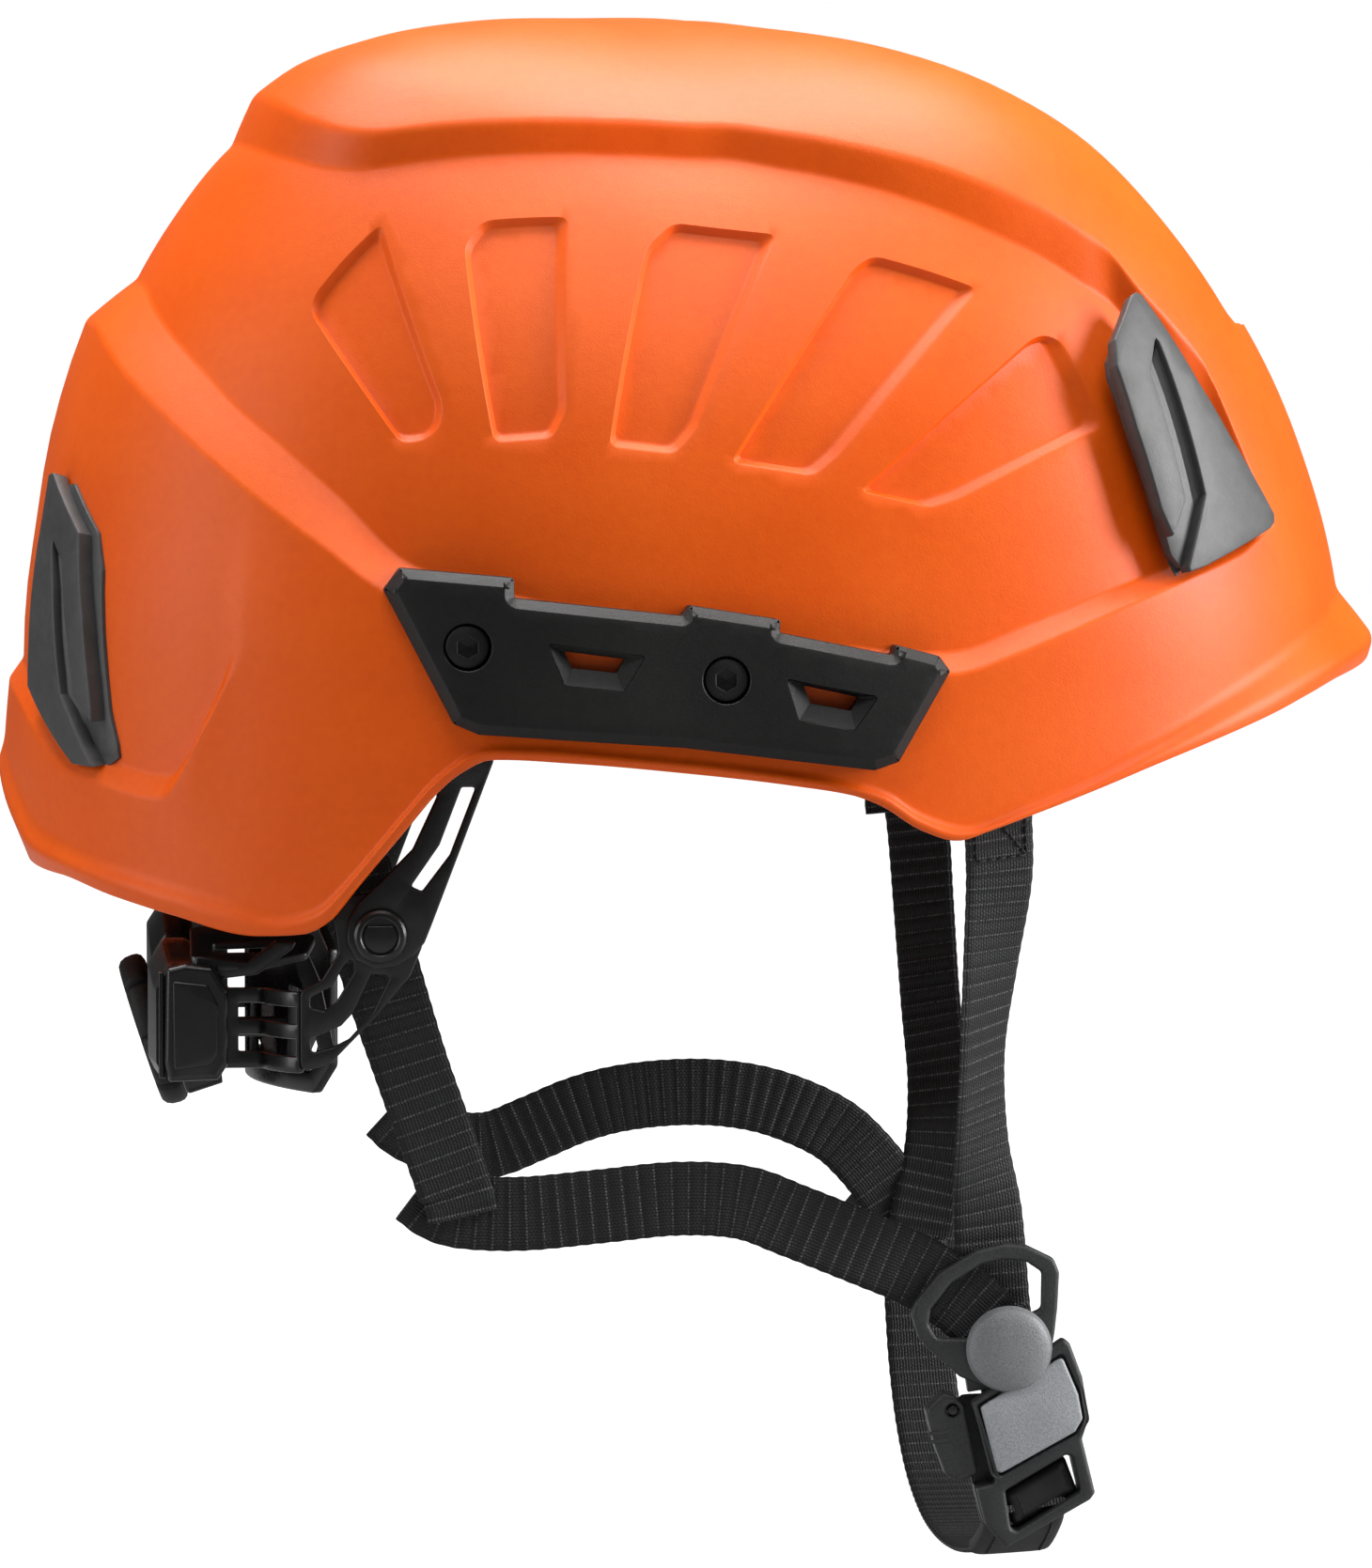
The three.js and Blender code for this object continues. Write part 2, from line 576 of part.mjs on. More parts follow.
// ---------------------------------------------------------------- liner and crown pad
function foamLiner() {
  const rowsAt = level => () => [0.08, 0.18, 0.32, 0.48, 0.62, 0.76, 0.9, 1].map(
    t => [lerp(90, LINER_LOW, t), level]);
  const outer = -SHELL_T - LINER_GAP;
  const inner = outer - LINER_T;
  let liner = hollowDome(rowsAt(outer), rowsAt(inner), outer, inner);
  for (const point of SCREW_POINTS) {
    for (const side of SIDES) liner = liner.subtract(screwRod(point, 20, 32, 5.6, 16, side));
  }
  return geometryOf(largest(liner));
}

// flat underside, domed top
function crownPad() {
  const linerZ = DOME_Z + CROWN_R - SHELL_T - LINER_GAP - LINER_T;
  const top = [29.4, 22, 14, 7, 0].map(r => [r, linerZ - PAD_TOP_GAP - r * r / 100]);
  return lathe([[0, 0], [25, 0], [28.6, 0.9], [30.2, 2.6], ...top], 36, Math.PI / 2);
}

// ---------------------------------------------------------------- harness
// stations as [centre x, y, z, half-width vector x, y, z]
const RIGHT_FRONT_STRAP = [
  [55.0, -97.2, -104, 6.9, 2.6, 0], [54.82, -97.5, -120.76, 6.95, 2.6, 0],
  [55.38, -95.2, -135.25, 6.9, 2.9, 0], [54.17, -91, -153.6, 5.89, 4.65, 0],
  [53.23, -85.6, -172.32, 4.96, 5.62, 0], [53.69, -81, -191.13, 5.75, 4.6, 0],
  [55.4, -77.6, -206, 7.1, 1.8, 0], [56.5, -76.9, -221.4, 7.4, 0.5, 0]];
// hangs further forward than the right one
const LEFT_FRONT_STRAP = [
  [57.3, 96.4, -104, 6.9, -2.6, 0], [58.6, 96.3, -120.76, 6.95, -2.6, 0],
  [60.2, 94.2, -135.25, 6.6, -3.4, 0], [61.2, 91, -154, 6.3, -4.0, 0],
  [62.2, 86, -175, 6.1, -4.3, 0], [63.4, 81.2, -192, 6.4, -3.9, 0],
  [63, 77.5, -206.5, 7.1, -1.8, 0], [60, 76.7, -221.4, 7.4, -0.5, 0]];
const REAR_STRAP = [
  [-82.5, -87.9, -100, 6.5, -2.9, 2.2], [-79, -89.4, -114, 6.5, -2.9, 2.2],
  [-74.39, -88.4, -129.16, 6.6, -2.2, 2.4], [-69.61, -85.1, -146.56, 6.9, -1.2, 2.4],
  [-62.74, -84.2, -170.35, 7.0, -0.4, 2.4], [-58.34, -83.6, -183.27, 7.1, 0.3, 2.4],
  [-53, -83.2, -198.5, 7.1, 0.5, 2.4]];
const RIGHT_LOWER_STRAP = [
  [-60.5, -81, -198.2], [-56, -81, -201.5], [-50.07, -81, -203], [-38.7, -81, -203.33],
  [-23.49, -80.8, -202], [-8.24, -80.3, -200.67], [5.14, -79.8, -201.6],
  [15.92, -79, -205.63], [30.19, -78, -211.5], [41, -77.4, -216.2],
].map(centre => [...centre, 0.5, 0, 7.45]);
const LEFT_LOWER_STRAP = [
  [-60.5, 81, -198.2, 0.5, 0, 7.45], [-56, 81, -202.2, 0.5, 0, 7.45],
  [-48, 81, -205.6, 0.2, 0, 7.45], [-38, 81, -206.2, -1.2, 0, 7.35],
  [-28.2, 81, -202.6, -2.6, 0, 7.0], [-18.6, 80.8, -198.6, -2.2, 0, 7.1],
  [-8.5, 80.5, -195.9, -1.2, 0, 7.35], [4.1, 80.3, -194.6, 0, 0, 7.45],
  [15.8, 80, -195, 0.9, 0, 7.4], [27, 79.8, -197.4, 2.0, 0, 7.2],
  [38.7, 79.2, -202.6, 3.0, 0, 6.8], [46, 78.4, -209, 3.6, 0, 6.5]];
// from the divider to the buckle's tongue
const TONGUE_STRAP = [
  [56.9, -77.6, -224.6], [58.2, -77.6, -230], [59.3, -77.6, -235.2],
].map(centre => [...centre, 7.2, 0, 1.1]);
// from the buckle's slot, under the chin, up to the left divider
const CHIN_STRAP = [
  [64.1, -80.6, -264, 7.36, 0, 1.15], [64.1, -76.8, -264, 7.36, 0, 1.15],
  [64.1, -73, -264.5, 7.36, 0, 1.15], [64.2, -69.4, -266.2, 7.36, 0, 1.1],
  [64.2, -62, -270.8, 7.4, 0, 0.8], [63.6, -46, -277.4, 7.45, 0, 0.4],
  [62, -24, -281.5, 7.45, 0, 0], [61, 0, -282.6, 7.45, 0, 0],
  [60.4, 24, -281.2, 7.45, 0, 0], [59.6, 44, -275.6, 7.45, 0, 0],
  [58.8, 58, -266, 7.45, 0, 0], [58.2, 67, -254, 7.45, 0, 0],
  [57.8, 72.4, -240, 7.45, 0, 0], [57.4, 75, -228, 7.45, 0, 0]];

// sleeve round the chin strap's end, below the buckle
function strapSleeve() {
  const widened = (from, to, factor) => CHIN_STRAP.slice(from, to).map(
    station => station.map((value, i) => (i < 3 ? value : value * factor)));
  const outer = solidOf(ribbon(widened(3, 6, 1.15), 4.4));
  const inner = solidOf(ribbon(widened(2, 7, 1.055), WEB_T + 0.9));
  return geometryOf(largest(outer.subtract(inner)));
}

// slotted plate at the upper end of a strap, turned about Z
function strapAnchor(place, turn) {
  const width = 21;
  const height = 13;
  const slot = boxSolid([-width / 2 + 2.5, width / 2 - 2.5], [-3, 3], [-2, 1.2]);
  const anchor = boxSolid(span(0, width / 2), [-1.2, 1.2], span(0, height / 2)).subtract(slot);
  return geometryOf(anchor).rotateZ(turn).translate(...place);
}

// outlines as [x, z]
const DIVIDER = [
  [58.45, -210.23], [62.87, -210.65], [68.45, -213.39], [69.61, -216.28], [69.25, -223.57],
  [68.69, -228.55], [67.55, -234.88], [62.76, -239.6], [56.22, -240.3], [49.3, -237.37],
  [42.57, -231.36], [40.84, -229.23], [39.3, -224.42], [40.25, -221.94], [45.23, -216.05],
  [52.51, -211.71]];
const DIVIDER_WINDOW = [
  [57.6, -213.6], [62.6, -213.9], [66, -216.2], [65.9, -223.6], [52, -229.6], [44.6, -229.4],
  [43, -226.6], [43.4, -223.6], [47.5, -218.4], [53.5, -214.6]];

// domed cap that locks the divider
function dividerCap() {
  const profile = [[0, 0], [8.4, 0], [8.8, 0.6], [8.2, 2.2], [5.4, 3.5], [0, 4]];
  return lathe(profile, 28, Math.PI, [59.2, -81.9, -231.6]);
}

// ---------------------------------------------------------------- hangers, pivots and yoke
// outlines as [x, z]
const PIVOT_HOLE = circle(...PIVOT, 3.4, 20);
const HANGER = [
  [-56, -98], [-43.5, -98], [-45.9, -111.6], [-52.47, -129], [-58.2, -144], [-60.3, -151.5],
  [-64.6, -155.6], [-70, -156.2], [-74.8, -153], [-77, -147.8], [-76, -142], [-73, -138.6],
  [-68.5, -135.4], [-62, -128.8], [-57.2, -118.5]];
const HANGER_SLOT = [
  [-52.2, -116.5], [-49.4, -116.5], [-54.6, -130], [-60.1, -137.2], [-62.3, -136.2],
  [-56.6, -128]];
// upper hook holding the hanger to the shell wall
const HANGER_CLIP = [[-59, -92], [-40.5, -92], [-40.5, -104], [-59, -104]];
const HANGER_CLIP_WINDOW = [[-53, -100.5], [-46.5, -100.5], [-46.5, -96], [-53, -96]];

// stem through hanger and arm, between two flanges; the thicker cap is on the outer side
function pivotButton() {
  const profile = [
    [0, 0], [5.2, 0], [5.2, 1.2], [3, 1.2], [3, 6.2], [5.1, 6.2], [5.1, 7.2], [4, 8], [0, 8.3]];
  return lathe(profile, 24, Math.PI, [PIVOT[0], -89.1, PIVOT[1]]);
}

const ARM_OUTER_Y = -92.5;
const ARM_INNER_Y = -90.7;
const ARM_LOW_Z = -173.6;  // edges of the band behind the pivot
const ARM_HIGH_Z = -157.4;
const ARM = [
  [-75.2, -138.2], [-70.5, -137.6], [-64.5, -138.8], [-60.6, -142.5], [-60, -148.5],
  [-62.5, -154.5], [-70, -163.2], [-78, -171.4], [-86, ARM_LOW_Z], [-86, ARM_HIGH_Z],
  [-80, -155], [-76.6, -149.5], [-77.6, -142.5]];
const ARM_HOLES = [
  [[-73.9, -150.5], [-75.6, -152.2], [-77.9, -156.2], [-81.3, -158], [-81.3, -160.3],
    [-79.5, -161.2], [-77.2, -159.5], [-73.6, -153.6]],
  [[-70.2, -153.9], [-66.2, -154.2], [-69.8, -161.6], [-74.6, -166.8], [-77.6, -168.3],
    [-79.6, -168.2], [-80.2, -166.2], [-76.2, -164.2], [-73.8, -161.6]],
];
// plan of the band as [x, y]: inwards behind the pivot, then straight back into the sleeve
const ARM_BEND = [
  [-84, ARM_OUTER_Y], [-87.2, -90.3], [-90.6, -85], [-93.2, -80.4], [-105.3, -80.4],
  [-105.3, -78.2], [-91.8, -78.2], [-88.8, -83.6], [-85.9, -88.6], [-84, ARM_INNER_Y]];

function yokeArm() {
  let arm = plateSolid(ARM, ARM_INNER_Y, ARM_OUTER_Y, [PIVOT_HOLE]);
  for (const hole of ARM_HOLES) {
    arm = arm.subtract(plateSolid(hole, ARM_INNER_Y + 2, ARM_OUTER_Y - 2));
  }
  let bend = solidOf(extrude(ARM_BEND, ARM_LOW_Z, ARM_HIGH_Z - ARM_LOW_Z));
  for (const slot of [[-170, -166.6], [-163.6, -160.6]]) {
    bend = bend.subtract(boxSolid([-92.4, -84.6], [-93.5, -79], slot));
  }
  return geometryOf(largest(arm.add(bend)));
}

// ---------------------------------------------------------------- cradle
// local frame at the dial's hub: u rearward and down along the dial axis,
// v towards the wearer's right, w up
const TILT_COS = Math.cos(DIAL_TILT * DEG);
const TILT_SIN = Math.sin(DIAL_TILT * DEG);
const CRADLE_FRAME = new THREE.Matrix4().makeBasis(
  new THREE.Vector3(-TILT_COS, 0, -TILT_SIN),
  new THREE.Vector3(0, -1, 0),
  new THREE.Vector3(-TILT_SIN, 0, TILT_COS),
).setPosition(...DIAL_C);
// an extrusion's x, y, z become v, w, u
const EXTRUDE_TO_UVW = new THREE.Matrix4().makeBasis(
  new THREE.Vector3(0, 1, 0), new THREE.Vector3(0, 0, 1), new THREE.Vector3(1, 0, 0));

const cradleBox = (u, v, w) => solidOf(box(u, v, w).applyMatrix4(CRADLE_FRAME));
const axialRod = (u, ...size) => solidOf(
  rod([u, 0, 0], [1, 0, 0], ...size).applyMatrix4(CRADLE_FRAME));
const cradleExtrude = (...args) => extrude(...args)
  .applyMatrix4(EXTRUDE_TO_UVW).applyMatrix4(CRADLE_FRAME);

// plan of the left wing as [x, y], stepping forward and outward to the sleeve
const WING = [
  [-101, 40], [-113.5, 40], [-114.5, 60], [-113, 77], [-111, 84.2], [-98.8, 84.2],
  [-98.8, 74.6], [-105, 74.6], [-106, 62]];

// shallow box open to the front, with a sleeve for the yoke arm at each end
function adjusterHousing() {
  const cavity = front => cradleBox([front, 0], [-42, 42], [-9.6, 9.6]);
  let housing = cradleBox([-6.2, 1.6], [-44, 44], [-12, 12]).subtract(cavity(-10));
  for (const side of SIDES) {
    const wing = solidOf(extrude(WING.map(([x, y]) => [x, side * y]), -176.2, 23.4));
    housing = housing
      .add(wing.subtract(cavity(-12)))
      .subtract(boxSolid([-111.2, -90], span(side * 79.3, 1.7), [-174.2, -156.8])); // sleeve
  }
  housing = housing
    .subtract(axialRod(-3, 8, 2.9, 20)) // hub hole
    .subtract(cradleBox([-20, -6.2], [-47, 47], [-30, 30])); // space in front
  return geometryOf(largest(housing));
}

function adjusterCover() {
  return geometryOf(cradleBox([-5.9, -4.7], [-41.6, 41.6], [-9.3, 9.3])
    .subtract(axialRod(-9, 8, 2.6, 20)));
}

// slotted strip; its teeth are above the pinion for side 1 and below it for -1
function rack({ ends: [v0, v1], depth: [u0, u1], slot: [slot0, slot1], side }) {
  const pitch = 2 * Math.PI * PITCH_R / TEETH;
  const tip = side * (PITCH_R - 0.62);
  const root = side * (PITCH_R + 1.0);
  const hole = [[slot0, -side * 4.6], [slot1, -side * 4.6], [slot1, root]];
  const first = Math.ceil((slot0 + 1.2) / pitch);
  for (let k = Math.floor((slot1 - 1.2) / pitch); k >= first; k--) {
    const v = k * pitch;
    hole.push([v + 0.92, root], [v + 0.30, tip], [v - 0.30, tip], [v - 0.92, root]);
  }
  hole.push([slot0, root]);
  const outline = [[v0, -8.4], [v1, -8.4], [v1, 8.4], [v0, 8.4]];
  return cradleExtrude(outline, u0, u1 - u0, [hole]);
}

function pinion() {
  const rootR = 2.2;
  const tipR = PITCH_R + 0.6;
  // corners of one tooth: [radius, offset in tooth pitches]
  const tooth = [[rootR, -0.31], [tipR, -0.09], [tipR, 0.09], [rootR, 0.31]];
  const outline = [];
  for (let k = 0; k < TEETH; k++) {
    for (const [radius, offset] of tooth) {
      const angle = (k + 0.5 + offset) / TEETH * 2 * Math.PI;
      outline.push([radius * Math.cos(angle), radius * Math.sin(angle)]);
    }
  }
  return cradleExtrude(outline, -4.4, 4.1, [circle(0, 0, 1.25, 12)]);
}

// disc with a hub in front
function dialKnob() {
  return geometryOf(axialRod(2.1, 5.4, 13, 36)
    .add(axialRod(0.1, 3, 2.6, 20)) // hub
    .subtract(axialRod(-2, 20, 1.25, 12)) // bore
    .subtract(axialRod(5.6, 6, 3.3, 20))); // head recess
}

// lobed ring round the knob
function dialGrip() {
  const points = 72;
  const lobes = 12;
  const outline = [];
  for (let i = 0; i < points; i++) {
    const angle = i / points * 2 * Math.PI;
    const radius = 15.9 + 0.55 * Math.cos(lobes * angle);
    outline.push([radius * Math.cos(angle), radius * Math.sin(angle)]);
  }
  return cradleExtrude(outline, 2.1, 5.8, [circle(0, 0, 13.3, 36)], 0.6);
}

function dialScrew() {
  return geometryOf(axialRod(-4.6, 11, 1, 12)
    .add(axialRod(5.9, 1.5, 2.9, 20)) // head
    .subtract(cradleBox([6.8, 9], [-0.5, 0.5], [-2.2, 2.2]))); // driver slot
}

const NAPE_R = 88.5;  // inner radius of the nape frame
const NAPE_X = -3;    // its centre

// band round the nape over an arc in degrees either side of straight back
function napeBand(r0, r1, z0, z1, halfArcDeg) {
  const steps = 20;
  const halfArc = halfArcDeg * DEG;
  const sections = [];
  for (let i = 0; i <= steps; i++) {
    const angle = -halfArc + 2 * halfArc * i / steps;
    sections.push([[r0, z0], [r1, z0], [r1, z1], [r0, z1]].map(
      ([r, z]) => [NAPE_X - r * Math.cos(angle), r * Math.sin(angle), z]));
  }
  return solidOf(loft(sections));
}

function napeFrame() {
  let frame = napeBand(NAPE_R, NAPE_R + 2.4, -182, -145.5, 35);
  // windows on each side: [centre y, half width, z range]
  const windows = [[22, 12, [-178, -163]], [42.5, 4.5, [-178, -160]], [24, 14, [-155, -149]]];
  for (const side of SIDES) {
    for (const [y, half, heights] of windows) {
      frame = frame.subtract(boxSolid([-110, -40], span(side * y, half), heights));
    }
    // lug reaching back from the frame
    frame = frame.add(boxSolid([-102.2, -85.6], span(side * 35.8, 1.3), [-171, -167]));
  }
  return geometryOf(largest(frame));
}

// ---------------------------------------------------------------- buckle
const BUCKLE_Y = -77.6;            // mid-plane
const BUCKLE_DOWN = [0.155, -0.988]; // release direction, x and z
const BUCKLE_START = [60.6, -242]; // middle of the mouth, x and z
const LEVER_PIVOT = [47.9, -244.2]; // x and z
// outlines as [x, z]
const BUCKLE_BODY = [
  [71.01, -241.2], [76.27, -247], [74.74, -250.39], [77.09, -261.99], [76.32, -263.14],
  [58.98, -272.77], [54.34, -267.89], [51.6, -256.09], [48.6, -243.4], [50.43, -241.9]];
const LEVER_POCKET = [[40, -238], [50.8, -238], [51.2, -243], [56.6, -258.9], [40, -261.6]];
const BUCKLE_PLATE = [
  [53.6, -244.2], [70.4, -243.2], [74.2, -249.6], [73.6, -250.8], [58.4, -258.4]];
const LEVER = [
  [45.9, -240.6], [48.4, -241.2], [50.3, -243.6], [53.2, -257.2], [49.6, -258.9],
  [46.6, -257.6], [44.2, -251.19], [42.4, -244.2]];

// rectangle over a range down the buckle and a range forward across it, centred on its mid-plane
function buckleBlock([down0, down1], [fore0, fore1], halfThickness) {
  const corners = [[down0, fore0], [down1, fore0], [down1, fore1], [down0, fore1]];
  const [dirX, dirZ] = BUCKLE_DOWN;
  const outline = corners.map(([down, fore]) => [
    BUCKLE_START[0] + down * dirX - fore * dirZ, BUCKLE_START[1] + down * dirZ + fore * dirX]);
  return plateSolid(outline, BUCKLE_Y + halfThickness, BUCKLE_Y - halfThickness);
}

function buckleBody() {
  return geometryOf(largest(plateSolid(BUCKLE_BODY, BUCKLE_Y + 4.2, BUCKLE_Y - 4.2, [], 0.8)
    .subtract(buckleBlock([-6, 12], [-7.2, 8.2], 1.7)) // mouth for the tongue
    .subtract(buckleBlock([20.5, 24], [-7.8, 8.6], 6)) // slot for the webbing
    .subtract(plateSolid(LEVER_POCKET, BUCKLE_Y + 2.7, BUCKLE_Y - 6)))); // on the rear edge
}

// plate under the divider, reaching into the mouth
function buckleTongue() {
  return geometryOf(buckleBlock([-4.4, 10.5], [-6.2, 7.2], 1.3)
    .add(buckleBlock([-6, -2.6], [-9, 10], 1.5)) // wider upper end
    .subtract(buckleBlock([4, 7.5], [-3.5, 4.5], 4))); // window
}

function releaseLever() {
  const hole = circle(...LEVER_PIVOT, 1.15, 12);
  return geometryOf(plateSolid(LEVER, BUCKLE_Y + 2.3, BUCKLE_Y - 3.6, [hole]));
}

function leverPin() {
  const [x, z] = LEVER_PIVOT;
  return rod([x, BUCKLE_Y + 2.5, z], [0, -1, 0], 6.4, 0.95, 12);
}

// ---------------------------------------------------------------- assembly
const root = new THREE.Group();
root.name = 'climbing_helmet';

function add(name, geometry, material) {
  if (!geometry.attributes.normal) geometry.computeVertexNormals();
  const mesh = new THREE.Mesh(geometry, new THREE.MeshStandardMaterial(MATERIALS[material]));
  mesh.name = name;
  root.add(mesh);
}

function pair(name, geometry, material) {
  const left = mirrored(geometry);
  add('right_' + name, geometry, material);
  add('left_' + name, left, material);
}

pair('accessory_rail', accessoryRail(), 'rail');
Object.keys(SCREWS).forEach((place, i) => {
  pair(place + '_rail_screw', railScrew(SCREW_POINTS[i]), 'rail');
  pair(place + '_rail_insert', railInsert(SCREW_POINTS[i]), 'steel');
});
pair('front_lamp_clip', lampClip(FRONT_CLIP, 7.8), 'clip');
pair('rear_lamp_clip', lampClip(REAR_CLIP, 9.6), 'clip');

add('foam_liner', foamLiner(), 'foam');
add('crown_pad', crownPad(), 'pad');
add('headband', domeStrip({
  halfArc: 62, steps: 28, elevations: [-6.5, 1.5], levels: [-17.6, -15.6],
}), 'nylon');
add('brow_pad', domeStrip({
  halfArc: 52, steps: 24, elevations: [-5.8, 0.5], levels: [-23.4, -18],
}), 'pad');

add('right_front_strap', ribbon(RIGHT_FRONT_STRAP), 'web');
add('left_front_strap', ribbon(LEFT_FRONT_STRAP), 'web');
pair('rear_strap', ribbon(REAR_STRAP), 'web');
add('right_lower_strap', ribbon(RIGHT_LOWER_STRAP), 'web');
add('left_lower_strap', ribbon(LEFT_LOWER_STRAP), 'web');
pair('front_strap_anchor', strapAnchor([54.6, -94.6, -109], 0.36), 'nylon');
pair('rear_strap_anchor', strapAnchor([-82.2, -85.2, -105], -0.43), 'nylon');

pair('hanger', plate(HANGER, -94.9, -93, [HANGER_SLOT, PIVOT_HOLE], 0.3), 'nylon');
pair('hanger_clip', plate(HANGER_CLIP, -92.6, -90.4, [HANGER_CLIP_WINDOW], 0.3), 'nylon');
pair('pivot_button', pivotButton(), 'steel');
pair('yoke_arm', yokeArm(), 'band');

add('adjuster_housing', adjusterHousing(), 'nylon');
add('adjuster_cover', adjusterCover(), 'nylon');
add('left_rack', rack({
  ends: [-35.5, 13], depth: [-2.3, -0.4], slot: [-24, 9.6], side: 1,
}), 'band');
add('right_rack', rack({
  ends: [-13, 35.5], depth: [-4.4, -2.6], slot: [-9.6, 24], side: -1,
}), 'band');
add('pinion', pinion(), 'steel');
add('dial_knob', dialKnob(), 'nylon');
add('dial_grip', dialGrip(), 'pad');
add('dial_screw', dialScrew(), 'steel');
add('nape_frame', napeFrame(), 'nylon');
add('nape_pad', geometryOf(napeBand(NAPE_R - 5.6, NAPE_R - 0.4, -180.5, -147, 22)), 'pad');

pair('strap_divider', plate(DIVIDER, -81.6, -79.4, [DIVIDER_WINDOW], 0.4), 'nylon');
pair('divider_cap', dividerCap(), 'nylon');
add('buckle_body', buckleBody(), 'nylon');
add('buckle_plate', plate(BUCKLE_PLATE, BUCKLE_Y - 4.5, BUCKLE_Y - 5.7, [], 0.2), 'grey');
add('buckle_tongue', buckleTongue(), 'nylon');
add('release_lever', releaseLever(), 'nylon');
add('lever_pin', leverPin(), 'steel');
add('tongue_strap', ribbon(TONGUE_STRAP), 'web');
add('chin_strap', ribbon(CHIN_STRAP), 'web');
add('strap_sleeve', strapSleeve(), 'web');

add('outer_shell', outerShell(), 'shell');

export default root;
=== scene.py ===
# Climbing helmet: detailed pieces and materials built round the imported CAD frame.
# +X is the brow, +Y the wearer's left, +Z up. Shapes are drawn in millimetres and stored in metres.
# The shell is a dome about (0, 0, DOME_Z): a place on it is a bearing from the front and an
# elevation, in degrees, with a level in mm above the base dome. Negative bearings are on the right.
# A "part" is a pair (points in mm, faces). Flat shapes are drawn in (u, v), with w as the depth.
import bpy
import bmesh
import math
import numpy as np
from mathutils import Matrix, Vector
from mathutils.geometry import delaunay_2d_cdt

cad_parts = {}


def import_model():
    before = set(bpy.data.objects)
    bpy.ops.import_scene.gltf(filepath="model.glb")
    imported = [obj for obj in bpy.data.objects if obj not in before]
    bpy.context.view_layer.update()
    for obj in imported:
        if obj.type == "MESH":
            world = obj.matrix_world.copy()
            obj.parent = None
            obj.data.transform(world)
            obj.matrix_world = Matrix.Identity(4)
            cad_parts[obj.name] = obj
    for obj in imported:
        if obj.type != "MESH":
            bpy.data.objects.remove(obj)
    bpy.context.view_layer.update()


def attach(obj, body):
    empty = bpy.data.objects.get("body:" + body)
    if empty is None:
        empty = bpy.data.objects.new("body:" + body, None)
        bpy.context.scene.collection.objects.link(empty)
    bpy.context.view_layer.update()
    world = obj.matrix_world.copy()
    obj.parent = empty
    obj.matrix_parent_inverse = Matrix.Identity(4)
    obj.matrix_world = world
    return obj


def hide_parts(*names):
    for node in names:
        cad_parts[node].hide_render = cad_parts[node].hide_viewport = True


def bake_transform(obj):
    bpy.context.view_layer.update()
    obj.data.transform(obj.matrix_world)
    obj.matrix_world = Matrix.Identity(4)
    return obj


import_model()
COLLECTION = bpy.context.scene.collection


# ------------------------------------------------------------------ base dome
def pchip(pairs):
    "monotone cubic through (x, y) pairs, held at its end values outside them"
    x, y = np.array(pairs, float).T
    step = np.diff(x)
    slope = np.diff(y) / step
    tangent = np.zeros_like(x)
    for i in range(1, len(x) - 1):
        if slope[i - 1] * slope[i] > 0:
            a = 2 * step[i] + step[i - 1]
            b = step[i] + 2 * step[i - 1]
            tangent[i] = (a + b) / (a / slope[i - 1] + b / slope[i])
    tangent[0] = slope[0]
    tangent[-1] = slope[-1]

    def curve(value):
        value = np.clip(np.asarray(value, float), x[0], x[-1])
        i = np.clip(np.searchsorted(x, value) - 1, 0, len(x) - 2)
        t = (value - x[i]) / step[i]
        return ((2*t**3 - 3*t**2 + 1) * y[i] + (t**3 - 2*t**2 + t) * step[i] * tangent[i]
                + (-2*t**3 + 3*t**2) * y[i + 1] + (t**3 - t**2) * step[i] * tangent[i + 1])
    return curve


DOME_Z = -94.0   # height of the dome's centre
POWER = 2.3      # exponent of the dome's superelliptic plan low down; 2 at the crown
SHELL_T = 3.6    # thickness of the shell
# radius of the dome against elevation, towards the front, the back and the sides
FRONT = pchip([
    [-40, 172], [-30, 153], [-20, 142], [-10, 136], [0, 134], [10, 132.8], [20, 132], [30, 132],
    [40, 132], [50, 132.3], [60, 131], [70, 129.5], [80, 128.8], [90, 129.8]])
BACK = pchip([
    [-40, 172], [-30, 153], [-20, 140.5], [-10, 135.5], [0, 134.2], [10, 134.3], [20, 136.6],
    [30, 139.6], [40, 142.5], [48, 144.4], [55, 144.6], [62, 141.5], [70, 136.8], [80, 132],
    [90, 129.8]])
SIDE = pchip([
    [-40, 133], [-30, 119], [-20, 110.5], [-10, 106], [0, 104], [10, 104.2], [20, 106.2],
    [30, 109.5], [40, 113.5], [50, 118], [60, 122.3], [70, 126], [80, 128.7], [90, 129.8]])


def ease(t):
    "smooth step from 0 to 1"
    t = np.clip(t, 0, 1)
    return t * t * (3 - 2 * t)


def base_radius(bearing, elevation):
    bearing = np.asarray(bearing, float)
    elevation = np.asarray(elevation, float)
    cos, sin = np.cos(np.radians(bearing)), np.sin(np.radians(bearing))
    lengthwise = np.where(cos > 0, FRONT(elevation), BACK(elevation))
    n = 2 + (POWER - 2) * (1 - ease((elevation - 55) / 30))
    return (np.abs(cos / lengthwise) ** n + np.abs(sin / SIDE(elevation)) ** n) ** (-1 / n)


def on_dome(bearing, elevation, level):
    bearing = np.asarray(bearing, float)
    elevation = np.asarray(elevation, float)
    r = base_radius(bearing, elevation) + level
    tb, te = np.radians(bearing), np.radians(elevation)
    return np.stack([r * np.cos(te) * np.cos(tb), r * np.cos(te) * np.sin(tb),
                     r * np.sin(te) + DOME_Z], -1)


